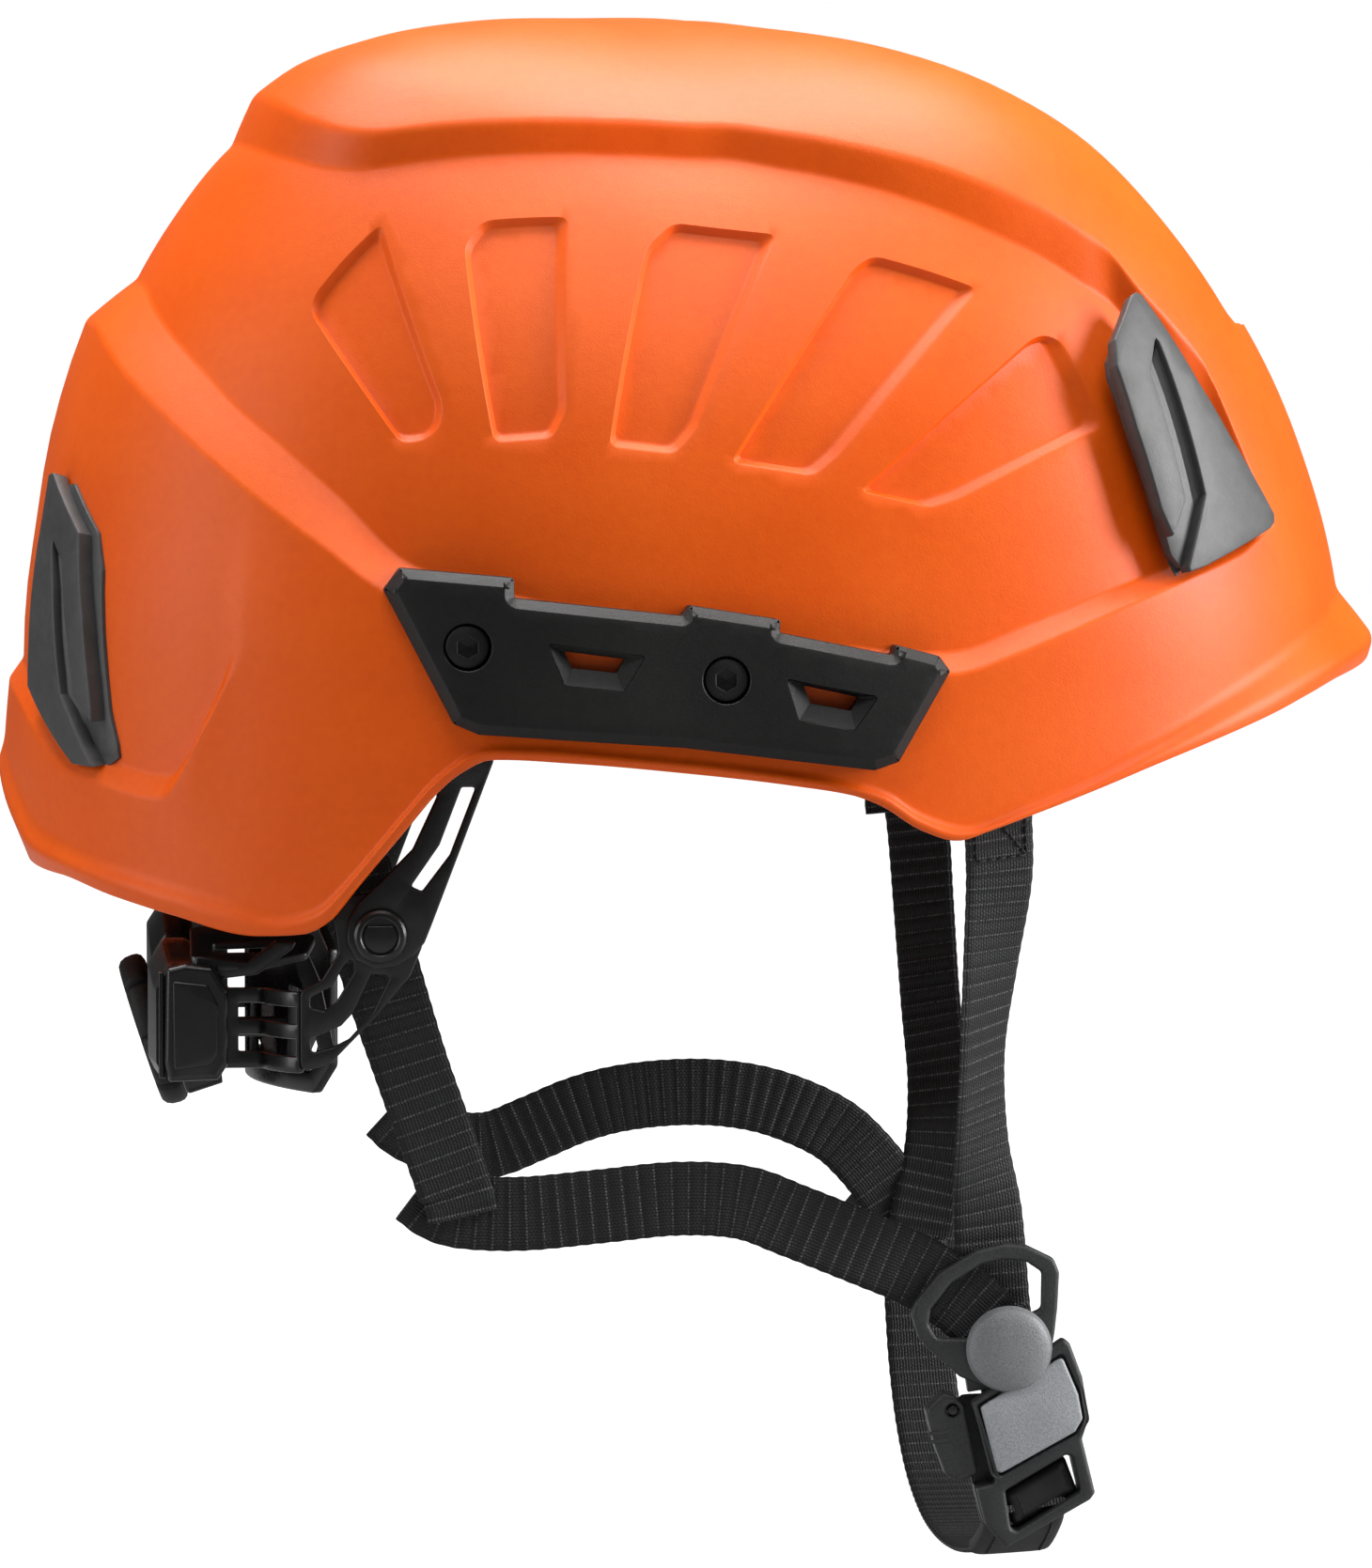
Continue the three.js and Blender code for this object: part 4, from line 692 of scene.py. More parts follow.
# ------------------------------------------------------------------ outer shell
# elevation of each feature line against bearing, from the crown down to the rim
RING = dict(
    step_top=pchip([
        [0, 16], [14, 15.2], [26, 13.4], [28, 13.1], [30.5, 20.1], [31.9, 27.2], [34.8, 31.8],
        [37.4, 35.6], [38.6, 38.9], [41.3, 41.5], [44.8, 44.2], [51.2, 47.8], [57.5, 51.1],
        [65.9, 54.4], [75.9, 57.6], [89.3, 60], [99.6, 59.6], [110.4, 58], [118.6, 56.1],
        [126, 54], [130.5, 52.6], [134.8, 51.1], [137.9, 50.1], [140.6, 49.6], [143.5, 49.4],
        [148.6, 49.7], [155.7, 50.5], [166, 51.7], [180, 52.4]]),
    field_top=pchip([
        [0, 15.2], [14, 14.6], [26, 13.1], [28, 12.9], [30.5, 16.2], [31.9, 21], [34.8, 28],
        [37.4, 33.2], [38.6, 35.2], [41.9, 37.8], [45.4, 40.7], [51.7, 44.7], [57.9, 48.3],
        [66.1, 52.1], [76.1, 55.5], [89.4, 58.2], [99.5, 57.8], [110.4, 56.3], [117.3, 54.8],
        [123.3, 53.2], [129.5, 51.3], [134.4, 49.6], [137.2, 48.6], [139.7, 47.8],
        [142.5, 47.3], [146.2, 47], [153.1, 47.1], [168.2, 48], [180, 48.3]]),
    field_base=pchip([
        [0, 12.8], [14, 12.7], [26, 12.55], [28, 12.5], [34, 11], [41.8, 9.5], [48.4, 7.8],
        [56.9, 5.1], [66.5, 2.2], [80, 3.2], [95, 5], [110, 7.6], [123.2, 10.8], [131.4, 17.1],
        [138.1, 21.2], [144.3, 24.3], [149.6, 27], [156.6, 29.9], [161.1, 31.6],
        [167.2, 33.6], [180, 34.6]]),
    band_top=pchip([
        [0, 12], [14, 12], [26, 12.1], [28, 12.1], [34, 10.2], [41.2, 8.3], [48.6, 6.1],
        [54.9, 3.9], [60.6, 1.9], [66.9, 0.1], [80, 0.9], [95, 2.5], [110, 4.8], [124, 7.8],
        [129.9, 11.3], [134.9, 14.1], [140.1, 16.9], [146, 20], [151.1, 22.5], [157.6, 25.2],
        [162.5, 27.1], [169, 28.9], [180, 29.5]]),
    crease=pchip([
        [0, 8.5], [14, 8], [28, 4.5], [40, 1], [50, -2], [66, -7], [80, -4.6], [100, -2.8],
        [118, -1.6], [130, -0.6], [137.4, 0.6], [140.8, -4.6], [143.6, -9.2], [145.4, -10.6],
        [155.1, -8.9], [160.1, -7.9], [163.2, -6], [171.6, -2.5], [180, -1.5]]),
    flare=pchip([
        [0, 6.5], [10.3, 6], [20.8, 3.6], [26.8, 1.9], [32.7, -0.2], [38.2, -2.5],
        [42.5, -4.5], [48, -7.1], [53.8, -10.1], [59.7, -12.6], [65.9, -14.8], [70.5, -13.6],
        [74, -11.6], [78, -10.6], [90, -8.9], [100, -7.8], [110, -6.8], [114, -6.7],
        [118.4, -9.1], [121.5, -12.2], [124.7, -15.6], [127.9, -18.7], [130.2, -20.3],
        [133.2, -20.8], [138.2, -19.4], [144, -17.8], [152, -16], [161.1, -14.2],
        [165.9, -13.1], [170.2, -10.6], [180, -6.6]]),
    rim=pchip([
        [0, 0.75], [9.4, 0.1], [22, -1.1], [28, -2.4], [32.5, -3.7], [39.9, -6], [46.2, -8.2],
        [52.1, -10.5], [57.7, -12.7], [63.3, -14.8], [67, -16], [70.3, -15.2], [74.6, -12.9],
        [77.4, -12], [83.1, -11.2], [94.5, -9.9], [105.6, -8.7], [113.7, -8.1], [116.4, -9.2],
        [119.1, -11.3], [121.8, -14.2], [124.6, -17.1], [127.3, -19.8], [129.2, -21.6],
        [131.4, -22.3], [135.7, -22.1], [144.5, -20], [151.3, -18.5], [160.2, -16.9],
        [170, -16.6], [180, -16.6]]))
# the lip stands this share of the way from the flare to the rim
LIP_SHARE = pchip([[0, 0.75], [30, 0.6], [60, 0.42], [120, 0.35], [160, 0.35], [180, 0.2]])
# level against bearing
LEVEL = dict(
    band=pchip([[0, 5], [60, 5], [110, 5.4], [140, 6], [180, 6]]),
    flare=pchip([[0, 5], [60, 5], [90, 6], [120, 7], [143, 9], [166, 9.5], [180, 10.4]]),
    lip=pchip([[0, 11.9], [15, 11.3], [30, 9.3], [45, 7.9], [60, 7], [90, 7.2], [120, 8.5],
               [143, 10.7], [166, 11.5], [180, 12.3]]),
    rim=pchip([[0, 10.4], [30, 8.8], [60, 6.5], [90, 6.5], [120, 8], [143, 10], [160, 9.5],
               [170, 8], [180, 6]]))
# corners of the sunk panels on the sides: bearing, elevation
PANELS = [
    [[134.04, 43.24], [121.63, 26.9], [121.61, 24.59], [123.28, 23.01], [125.58, 22.57],
     [138.3, 33.39], [138.65, 35.04], [136.61, 39.15]],
    [[122.11, 45.78], [111.27, 48.34], [108.1, 27.89], [109.52, 24.65], [115.87, 23.6],
     [123.38, 42.8]],
    [[96.34, 49.58], [80.93, 47.99], [92.95, 26.75], [95.69, 23.78], [103.32, 24.23],
     [100.11, 46.49]],
    [[68.58, 44.28], [56.12, 38.88], [76.66, 23.45], [79.74, 21.29], [89.4, 22.95],
     [71.56, 43.16]],
    [[51.77, 33.08], [49.8, 33.32], [47.85, 32.31], [45.81, 23.46], [63.91, 17.85],
     [66.98, 17.2], [74.85, 19.46]]]
PANEL_DEPTH = 1.8
# bevel of a panel: share of the way from its edge to its floor, level
PANEL_BEVEL = ((0.0, 0.0), (0.12, -0.10), (0.30, -0.42), (0.78, -1.50), (0.92, -1.74),
               (1.12, -PANEL_DEPTH))
CROWN_LEVEL = 5.0
MM = 2.27    # nominal millimetres to a degree of elevation
SEG = 5      # steps round each corner of the section
SPANS = [3, 3, 26, 3, 9, 2, 8, 5, 5, 3]   # steps on the straight before each corner
SQUEEZE = 0.8   # bearings are scaled by this where the dome is filled with triangles
# crown rows as shares of the way down from the pole, close together at the scoop's ledge
CROWN_ROWS = (90 - np.concatenate([
    np.linspace(88, 58, 16), np.linspace(56.4, 34, 16),
    [33.1, 32.55, 32.15, 31.75, 31.3, 30.9, 30.3], np.linspace(29, 20.4, 7)])) / (90 - 20.0)
FIELD_FROM, FIELD_TO = 43.1, 142.0   # bearings of the field that holds the panels
BEARINGS = np.unique(np.concatenate([
    np.arange(0, 26, 1.25), np.arange(26, 47, 0.45), np.arange(47, 60, 1.25),
    np.arange(60, 76, 0.8), np.arange(76, 112, 1.25), np.arange(112, 134, 0.8),
    np.arange(134, 148, 0.55), np.arange(148, 180, 1.25), [180.0],
    [16, 28, FIELD_FROM, FIELD_TO]])).round(3)
BEARINGS = BEARINGS[np.diff(BEARINGS, prepend=-1) > 0.2]


def scoop(bearing, elevation):
    "the shallow channel at the middle of the brow, which ends in a ledge"
    side = 1 - ease((np.abs(bearing) - 15.5) / 4.0)
    along = (ease((56 - elevation) / 22) * (elevation > 32.2)
             + (elevation <= 32.2) * np.clip((elevation - 30.9) / 1.3, 0, 1))
    return -5.2 * side * along


def corners(bearing):
    "corners of the shell's section from the crown down: (elevation, level, setback in mm)"
    step_top, field_top, field_base, band_top, crease, flare, rim = (
        float(line(bearing)) for line in RING.values())
    band_level, flare_level, lip_level, rim_level = (
        float(line(bearing)) for line in LEVEL.values())
    recess = 5 * (1 - float(ease((bearing - 28) / 3)))
    swell = float(ease((bearing - 100) / 40))
    past = bearing - 137.4
    above = 6 + swell * (1 - float(ease(past / 3)))
    below = band_level + (swell if bearing < 137.4 else 1 + 2 * float(ease(past / 6)))
    lip = flare + (rim - flare) * float(LIP_SHARE(bearing))
    return [(step_top, CROWN_LEVEL, 1.5), (field_top, recess, 1.0), (field_base, recess, 0.9),
            (band_top, band_level, 1.0), (crease + 1.7, above - 6 + band_level, 0.7),
            (crease, below, 0.7), (flare, flare_level, 1.6), (lip, lip_level, 1.6),
            (rim, rim_level, 1.0), (rim + 0.25, rim_level - SHELL_T, 1.0)]


def profile(bearing):
    "the section's outer line as points (mm down the dome, level)"
    edge = corners(bearing)
    points = [np.array([-(edge[0][0] + 4) * MM, CROWN_LEVEL])]
    points += [np.array([-e * MM, level]) for e, level, _ in edge]
    points.append(np.array([-(edge[-2][0] + 4) * MM, edge[-2][1] - SHELL_T]))
    share = np.linspace(0, 1, SEG + 1)[:, None]
    rows = []
    last = points[0]
    for i, (span, (_, _, setback)) in enumerate(zip(SPANS, edge)):
        before, corner, after = points[i:i + 3]
        back, ahead = before - corner, after - corner
        back_length, ahead_length = np.linalg.norm(back), np.linalg.norm(ahead)
        cut = min(setback, 0.45 * back_length, 0.45 * ahead_length)
        start = corner + back / max(back_length, 1e-9) * cut
        end = corner + ahead / max(ahead_length, 1e-9) * cut
        rows += [last + (start - last) * k / span for k in range(span)]
        rows += list(arc_point(start, corner, end, share))[:-1]
        last = end
    rows.append(last)
    return np.array(rows)


def outer_grid():
    "elevations and levels of the outer face, a row of points for each bearing"
    sections = np.array([profile(b) for b in BEARINGS])
    side = -sections[:, :, 0] / MM
    crown = 90 + (side[:, :1] - 90) * CROWN_ROWS[None, :]
    column = BEARINGS[:, None]
    side_levels = sections[:, :, 1] + np.where(side > 31, scoop(column, side), 0)
    return (np.concatenate([crown, side], 1),
            np.concatenate([CROWN_LEVEL + scoop(column, crown), side_levels], 1))


def dome_place(level):
    return lambda x, y: tuple(on_dome(-x / SQUEEZE, y, level))


def panel_loops(lip):
    "a panel's lip and the foot of its bevel, rounded, with matching points"
    n = len(lip)
    edge = np.roll(lip, -1, 0) - lip
    out = np.stack([edge[:, 1], -edge[:, 0]], 1)
    out /= np.linalg.norm(out, axis=1, keepdims=True)
    # the bevel is widest on the edges that look to the front and down
    width = 0.55 + 2.3 * ease((out @ np.array([0.80, -0.60]) + 0.15) / 0.75)
    foot = []
    for i in range(n):
        in1, in2 = -out[i - 1], -out[i]
        both = np.array([in1, in2])
        if abs(np.linalg.det(both)) < 0.12:
            foot.append(lip[i] + (in1 * width[i - 1] + in2 * width[i]) / 2)
        else:
            offsets = [in1 @ lip[i] + width[i - 1], in2 @ lip[i] + width[i]]
            foot.append(np.linalg.solve(both, np.array(offsets)))

    def smooth(shape, radius):
        points = []
        for i in range(n):
            corner, following = shape[i], shape[(i + 1) % n]
            back, ahead = shape[i - 1] - corner, following - corner
            back_length, ahead_length = np.linalg.norm(back), np.linalg.norm(ahead)
            cut = min(radius, 0.45 * ahead_length)
            start = corner + back / back_length * min(radius, 0.45 * back_length)
            end = corner + ahead / ahead_length * cut
            points += [arc_point(start, corner, end, k / 4) for k in range(5)]
            count = max(1, int(np.linalg.norm(lip[(i + 1) % n] - lip[i]) / 3.0))
            target = following - ahead / ahead_length * cut
            points += [end + (target - end) * k / count for k in range(1, count)]
        return np.array(points)
    return smooth(lip, 2.2), smooth(np.array(foot), 1.6)


def sink_panel(mesh, panel):
    "adds a panel's bevel and floor; gives its lip's 2D points and vertex numbers"
    verts, faces = mesh
    bearing, elevation = np.mean(panel, 0)
    _, to_sheet, to_polar = dome_sheet(-bearing, elevation)
    lip, foot = panel_loops(ccw(np.array([to_sheet(-b, e) for b, e in panel])))
    count = len(lip)
    starts, flats = [], []
    for share, level in PANEL_BEVEL:
        b, e = to_polar(*(lip + (foot - lip) * share).T)
        starts.append(len(verts))
        verts += [tuple(on_dome(bi, ei, level)) for bi, ei in zip(b, e)]
        flats.append([(float(bi) * SQUEEZE, float(ei)) for bi, ei in zip(np.abs(b), e)])
    faces += walls(starts, count)
    fill(mesh, [flats[-1]], [starts[-1] + i for i in range(count)], dome_place(-PANEL_DEPTH),
         up=False, pitch=1.5, gap=0.7, clip=True)
    return flats[0], [starts[0] + i for i in range(count)]


def inner_row(bearing):
    "elevations and levels of the inner face at a bearing, from the rim up"
    edge = [(e, level) for e, level, _ in corners(bearing)]
    top = edge[0][0]
    row = [(edge[7][0] + 0.2, edge[7][1])] + edge[6:1:-1]
    row.append((edge[2][0] * .6 + edge[1][0] * .4, edge[2][1]))
    row += [edge[1], edge[0]]
    row += [(top + (90 - top) * share, CROWN_LEVEL) for share in (0.2, 0.4, 0.6, 0.8)]
    return [(e, level - SHELL_T + (scoop(bearing, e) if e > 31 else 0)) for e, level in row]


def shell_half():
    "the right half of the shell"
    elevations, levels = outer_grid()
    columns, rows = elevations.shape
    bearings = np.repeat(BEARINGS[:, None], rows, 1)
    verts = [tuple(v) for v in on_dome(-bearings, elevations, levels).reshape(-1, 3)]
    faces = []
    mesh = (verts, faces)
    ids = np.arange(columns * rows).reshape(columns, rows)
    # the field between the two steps is left open here
    left = int(np.argmin(abs(BEARINGS - FIELD_FROM)))
    right = int(np.argmin(abs(BEARINGS - FIELD_TO)))
    high = len(CROWN_ROWS) + sum(SPANS[:2]) + 2 * SEG
    low = high + SPANS[2]
    for c in range(columns - 1):
        for r in range(rows - 1):
            if not (left <= c < right and high <= r < low):
                faces.append((ids[c, r], ids[c, r + 1], ids[c + 1, r + 1], ids[c + 1, r]))
    pole = len(verts)
    verts.append(tuple(on_dome(0, 90, CROWN_LEVEL)))
    faces += [(pole, ids[c, 0], ids[c + 1, 0]) for c in range(columns - 1)]
    # the field, round its panels
    index = [int(i) for i in (*ids[left:right + 1, high], *ids[right, high + 1:low + 1],
                              *ids[left:right, low][::-1], *ids[left, high + 1:low][::-1])]
    b, e = bearings.reshape(-1), elevations.reshape(-1)
    rims = [[(float(b[i]) * SQUEEZE, float(e[i])) for i in index]]
    for panel in PANELS:
        rim, numbers = sink_panel(mesh, panel)
        rims.append(rim)
        index += numbers
    fill(mesh, rims, index, dome_place(0.0), up=False, pitch=1.35, gap=0.72, clip=True)
    # the inner face
    inner = [inner_row(b) for b in BEARINGS]
    first, m = len(verts), len(inner[0])
    for b, row in zip(BEARINGS, inner):
        verts += [tuple(on_dome(-b, e, level)) for e, level in row]
    for c in range(columns - 1):
        here, there = first + c * m, first + (c + 1) * m
        faces.append((ids[c, rows - 1], here, there, ids[c + 1, rows - 1]))
        faces += [(here + r, here + r + 1, there + r + 1, there + r) for r in range(m - 1)]
    pole = len(verts)
    verts.append(tuple(on_dome(0, 90, CROWN_LEVEL - SHELL_T)))
    for c in range(columns - 1):
        faces.append((pole, first + (c + 1) * m + m - 1, first + c * m + m - 1))
    return np.array(verts), faces


def outer_shell():
    half = shell_half()
    shell = add("outer_shell_skin", merge(half, mirror(half)), ORANGE, None, "outer_shell",
                sharp=None)
    # joins the halves and the seams
    bm = bmesh.new()
    bm.from_mesh(shell.data)
    bmesh.ops.remove_doubles(bm, verts=bm.verts, dist=1.5e-5)
    bmesh.ops.recalc_face_normals(bm, faces=bm.faces)
    bm.to_mesh(shell.data)
    bm.free()
    shell.data.shade_smooth()
    shell.data.set_sharp_from_angle(angle=math.radians(34))
    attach(shell, "shell")


outer_shell()
DEGREE_PROFILES = [profile(b) for b in np.arange(0, 181, 1.0)]


def shell_level(bearing, elevation):
    "level of the shell's outer face"
    bearing = np.abs(bearing)
    out = np.zeros_like(bearing)
    for k in range(len(out)):
        whole = int(min(179, bearing[k]))
        share = bearing[k] - whole
        levels = []
        for line in DEGREE_PROFILES[whole:whole + 2]:
            n = int(np.argmax(line[:, 0])) + 1
            levels.append(np.interp(-elevation[k] * MM, line[:n, 0], line[:n, 1]))
        out[k] = levels[0] * (1 - share) + levels[1] * share
    return out


def shell_y(x, z):
    "y just under the shell's outer face on the right side, found by iteration"
    sink = 0.35
    y = np.full_like(x, -110.0)
    for _ in range(8):
        r = np.sqrt(x * x + y * y + (z - DOME_Z) ** 2)
        elevation = np.degrees(np.arcsin((z - DOME_Z) / r))
        bearing = np.degrees(np.arctan2(y, x))
        r = base_radius(bearing, elevation) + shell_level(bearing, elevation) - sink
        y = -np.sqrt(np.maximum(r * r - x * x - (z - DOME_Z) ** 2, 1))
    return y


# ------------------------------------------------------------------ liner
LINER_OUT = -SHELL_T - 1.0
LINER_IN = LINER_OUT - 19


def channel(bearing, elevation):
    "depth of the channels pressed into the liner's inner face"
    width = 3.4 / max(0.25, math.cos(math.radians(elevation)))
    ends = [float(ease((elevation - 15) / 5)), float(ease((66 - elevation) / 6))]
    depth = 0.0
    for centre in (26, 62, 98, 134):
        side = float(ease((width - abs(np.abs(bearing) - centre)) / 1.6))
        depth = max(depth, 3.2 * side * ends[0] * ends[1])
    return depth


def liner():
    bearings = np.arange(-180, 180, 1.5)
    outer = [(e, LINER_OUT) for e in np.r_[np.linspace(88, 8, 20), 5.6]]
    edge = [(4.5, LINER_OUT - 0.4), (4.1, LINER_OUT - 1.2), (4, LINER_OUT - 3),
            (4, LINER_OUT - 14), (4.1, LINER_IN + 1.4), (4.6, LINER_IN + 0.4), (5.6, LINER_IN)]
    inner = np.r_[np.linspace(8, 70, 42), np.linspace(73, 88, 6)]
    verts, faces = [], []
    for b in bearings:
        row = outer + edge + [(e, LINER_IN + channel(b, e)) for e in inner]
        verts += [tuple(on_dome(b, e, level)) for e, level in row]
    m, n = len(row), len(bearings)
    joins = [(c * m, (c + 1) % n * m) for c in range(n)]
    for a, b in joins:
        faces += [(a + r, a + r + 1, b + r + 1, b + r) for r in range(m - 1)]
    pole = len(verts)
    verts += [tuple(on_dome(0, 90, LINER_OUT)), tuple(on_dome(0, 90, LINER_IN))]
    for a, b in joins:
        faces.append((pole, a, b))
        faces.append((pole + 1, b + m - 1, a + m - 1))
    fix_normals(add("liner_foam", (np.array(verts), faces), FOAM, "shell", "foam_liner",
                    sharp=40))


liner()

# ------------------------------------------------------------------ rails: x, z
RAIL = [
    [-67.95, -76.96], [-64.63, -72.73], [-42.34, -74.61], [-42.35, -78.3], [-41.61, -78.67],
    [-9.45, -82.06], [-7.78, -80.03], [10.02, -82.84], [9.83, -85.43], [32.33, -89.93],
    [32.89, -87.89], [41.64, -90.14], [43.88, -93.11], [33.29, -110.87], [28.45, -112.52],
    [-9.45, -107.93], [-49.58, -105.38], [-54.37, -103.34], [-55.11, -101.86]]
# the two windows: corners deep in the rail, corners on its face
RAIL_WINDOWS = [
    ([[-32.82, -88.98], [-20.81, -90.49], [-22.48, -93.25], [-31.16, -92.3]],
     [[-35.96, -87.5], [-16.93, -89.94], [-21.19, -96.76], [-32.64, -95.62]]),
    ([[14.39, -95.76], [25.54, -98.2], [23.68, -100.79], [15.69, -99.28]],
     [[10.86, -94.46], [29.07, -98.03], [24.25, -104.49], [13.28, -102.6]])]
RAIL_SCREWS = [("rear", -51.58, -88.23), ("front", -0.92, -94.64)]
SCREW_RECESS = 4.7   # radius of the recess in the face
RAIL_FLAT = 20       # the rail is straight this far either way from x = 0


def rail_curve(x):
    x = np.asarray(x, float)
    reach = np.where(x < 0, 136.0, 134.0)
    return (-115.6 * (1 - np.abs(x / reach) ** POWER) ** (1 / POWER) + 0.9
            - 1.2 * ease((np.abs(x) - 25) / 45))


RAIL_MIDDLE_Y = max(float(rail_curve(-RAIL_FLAT)), float(rail_curve(RAIL_FLAT)))


def rail_face(x, z):
    "y of the right rail's outer face, which leans in towards the top"
    return np.where(np.abs(x) <= RAIL_FLAT, RAIL_MIDDLE_Y, rail_curve(x)) + 4.4 / 36 * (z + 95)


def rail_map(u, v, w):
    "w outwards from the face; anything deeper than 3 mm goes down to the shell"
    y = rail_face(u, v) - w
    deep = w < -3
    y[deep] = shell_y(u[deep], v[deep])
    return np.stack([u, y, v], -1)


def rail_plate():
    "wide sloping edge on the face, straight sides down to the shell"
    outline = loop(RAIL, 0.7, 3, 3.0)
    holes = [loop(outer, 0.5, 2, 3.0) for _, outer in RAIL_WINDOWS]
    holes += [np.array(circle(x, z, SCREW_RECESS)) for _, x, z in RAIL_SCREWS]
    # inset, w
    layers = [(0.0, -9.0), (0.0, -2.1), (0.06, -1.85), (0.25, -1.62), (1.75, -0.28),
              (1.95, -0.08), (2.25, 0.0)]
    verts, starts = [], []
    for depth, w in layers:
        starts.append(len(verts))
        verts += [(u, v, w) for u, v in inset(outline, depth)]
    faces = walls(starts, len(outline))
    index = list(range(starts[-1], len(verts)))
    rims = [[verts[i][:2] for i in index]]
    for hole in holes:
        hole = ccw(hole)[::-1]
        rim = inset(hole[::-1], -0.18)[::-1]
        first, count = len(verts), len(hole)
        verts += [(u, v, 0.0) for u, v in rim]
        verts += [(u, v, -0.2) for u, v in hole]
        faces += band(first, first + count, count)
        index += range(first, first + count)
        rims.append(rim.tolist())
    fill((verts, faces), rims, index, lambda u, v: (u, v, 0.0), up=True, pitch=2.4, gap=1.1)
    return rail_map(*np.array(verts).T), faces


def rail_window(inner, outer):
    "sloped sides from the face in to the window"
    inner, outer = loop(inner, 0.3, 2), loop(outer, 0.5, 2)
    layers = [(outer, 0.0), (outer, -0.25), (inner, -2.0), (inner, -4.5)]
    verts = np.array([(u, v, w) for points, w in layers for u, v in points])
    return rail_map(*verts.T), stack_faces(len(layers), len(inner))


def screw_recess(x, z):
    "round recess with a flat floor and a hole through it"
    rim, floor, hole = -0.2, -2.6, 2.2
    steps = [(SCREW_RECESS, rim), (SCREW_RECESS, floor + 0.3), (SCREW_RECESS - 0.3, floor),
             (hole, floor), (hole, floor - 3)]
    verts = np.array([(u, v, w) for r, w in steps for u, v in circle(x, z, r)])
    middle = rail_face(np.full(len(verts), x), np.full(len(verts), z))
    face = np.where(verts[:, 2] < -0.5, middle, rail_face(verts[:, 0], verts[:, 1]))
    return (np.stack([verts[:, 0], face - verts[:, 2], verts[:, 1]], -1),
            stack_faces(len(steps), 32))


def screw_head(x, y, z):
    "button head with a hexagonal socket"
    sides = 48
    # radius, w, whether the ring is hexagonal
    steps = [(4.3, -2.6, 0), (4.3, -1.2, 0), (4.05, -0.8, 0), (3.2, -0.55, 0), (2.35, -0.5, 1),
             (2.15, -0.62, 1), (2.1, -1.9, 1), (0.02, -2.3, 0)]
    verts = []
    for radius, w, hexagonal in steps:
        for k in range(sides):
            a = 2 * math.pi * k / sides
            r = radius
            if hexagonal:
                r = radius * 0.92 / math.cos((a + math.pi / 6) % (math.pi / 3) - math.pi / 6)
            verts.append((x + r * math.cos(a), y - w, z + r * math.sin(a)))
    return np.array(verts), stack_faces(len(steps), sides)


rail = merge(rail_plate(), *[rail_window(*w) for w in RAIL_WINDOWS],
             *[screw_recess(x, z) for _, x, z in RAIL_SCREWS])
add_pair("rail", rail, RAIL_BLACK, "shell", "accessory_rail", sharp=26)
# radius, distance inwards from the face
SHANK = [(1.8, 2.3), (1.8, 12.0), (1.5, 12.5), (0, 12.5)]
INSERT = [(2.2, 7.0), (2.6, 7.0), (2.6, 12.6), (4.0, 12.8), (4.2, 13.0), (4.2, 13.8), (4.0, 14),
          (2.2, 14), (2.1, 13.6), (2.1, 7.0)]
for name, x, z in RAIL_SCREWS:
    centre = (x, float(rail_face(np.array(x), np.array(z))), z)
    screw = merge(screw_head(*centre), lathe(SHANK, 24, centre, (0, 1, 0)))
    add_pair(name + "_screw", screw, RAIL_BLACK, "shell", name + "_rail_screw",
             sharp=30)
    add_pair(name + "_insert", lathe(INSERT, 32, centre, (0, 1, 0)), STEEL, "shell",
             name + "_rail_insert", sharp=30)

# ------------------------------------------------------------------ lamp clips
# bearing, elevation: the foot on the shell, the plate, and the sloping facet beside its tongue
FRONT_FOOT = [
    [40.11, 34.53], [38.85, 34.23], [37.4, 31.36], [35.32, 25.62], [33.06, 20.47],
    [31.07, 16.89], [29.14, 13.28], [29.9, 12.24], [39.91, 9.27], [42.75, 8.41],
    [44.08, 10.27], [44.85, 14.25], [46.11, 21.41], [46.82, 27.52], [46.36, 29.17],
    [42.73, 32.95]]
FRONT_PLATE = [
    [40.58, 34.14], [39.8, 34.33], [39.16, 34.1], [37.96, 31.21], [35.9, 25.5], [33.63, 20.39],
    [31.69, 16.82], [29.69, 13.23], [29.93, 12.5], [30.74, 12.04], [40.33, 9.24],
    [42.41, 8.75], [42.58, 9.19], [39.86, 14.23], [39.13, 15.49], [39.58, 28.13],
    [39.66, 30.1], [42.08, 26.98], [41.57, 15.28], [43.78, 11.94], [44.72, 14.56],
    [45.75, 22.11], [46.15, 27.98], [45.31, 30.26], [41.21, 33.69]]
FRONT_FACET = [
    [38.77, 30.34], [38.75, 28.34], [38.39, 15.59], [39.13, 14.32], [41.95, 9.08],
    [42.42, 8.59], [43.16, 9.91], [42.95, 10.57], [40.6, 15.18], [41.1, 27.17]]
REAR_FOOT = [
    [164.73, 15.41], [161.35, 16.11], [155.32, 11.84], [153.79, 8.53], [151.95, -3.34],
    [151, -6.12], [150.82, -7.05], [151.98, -8.07], [153.97, -8.03], [157.01, -7.48],
    [164.38, -2.07], [165.39, 1.39], [165.04, 6.37], [165.73, 11.35]]
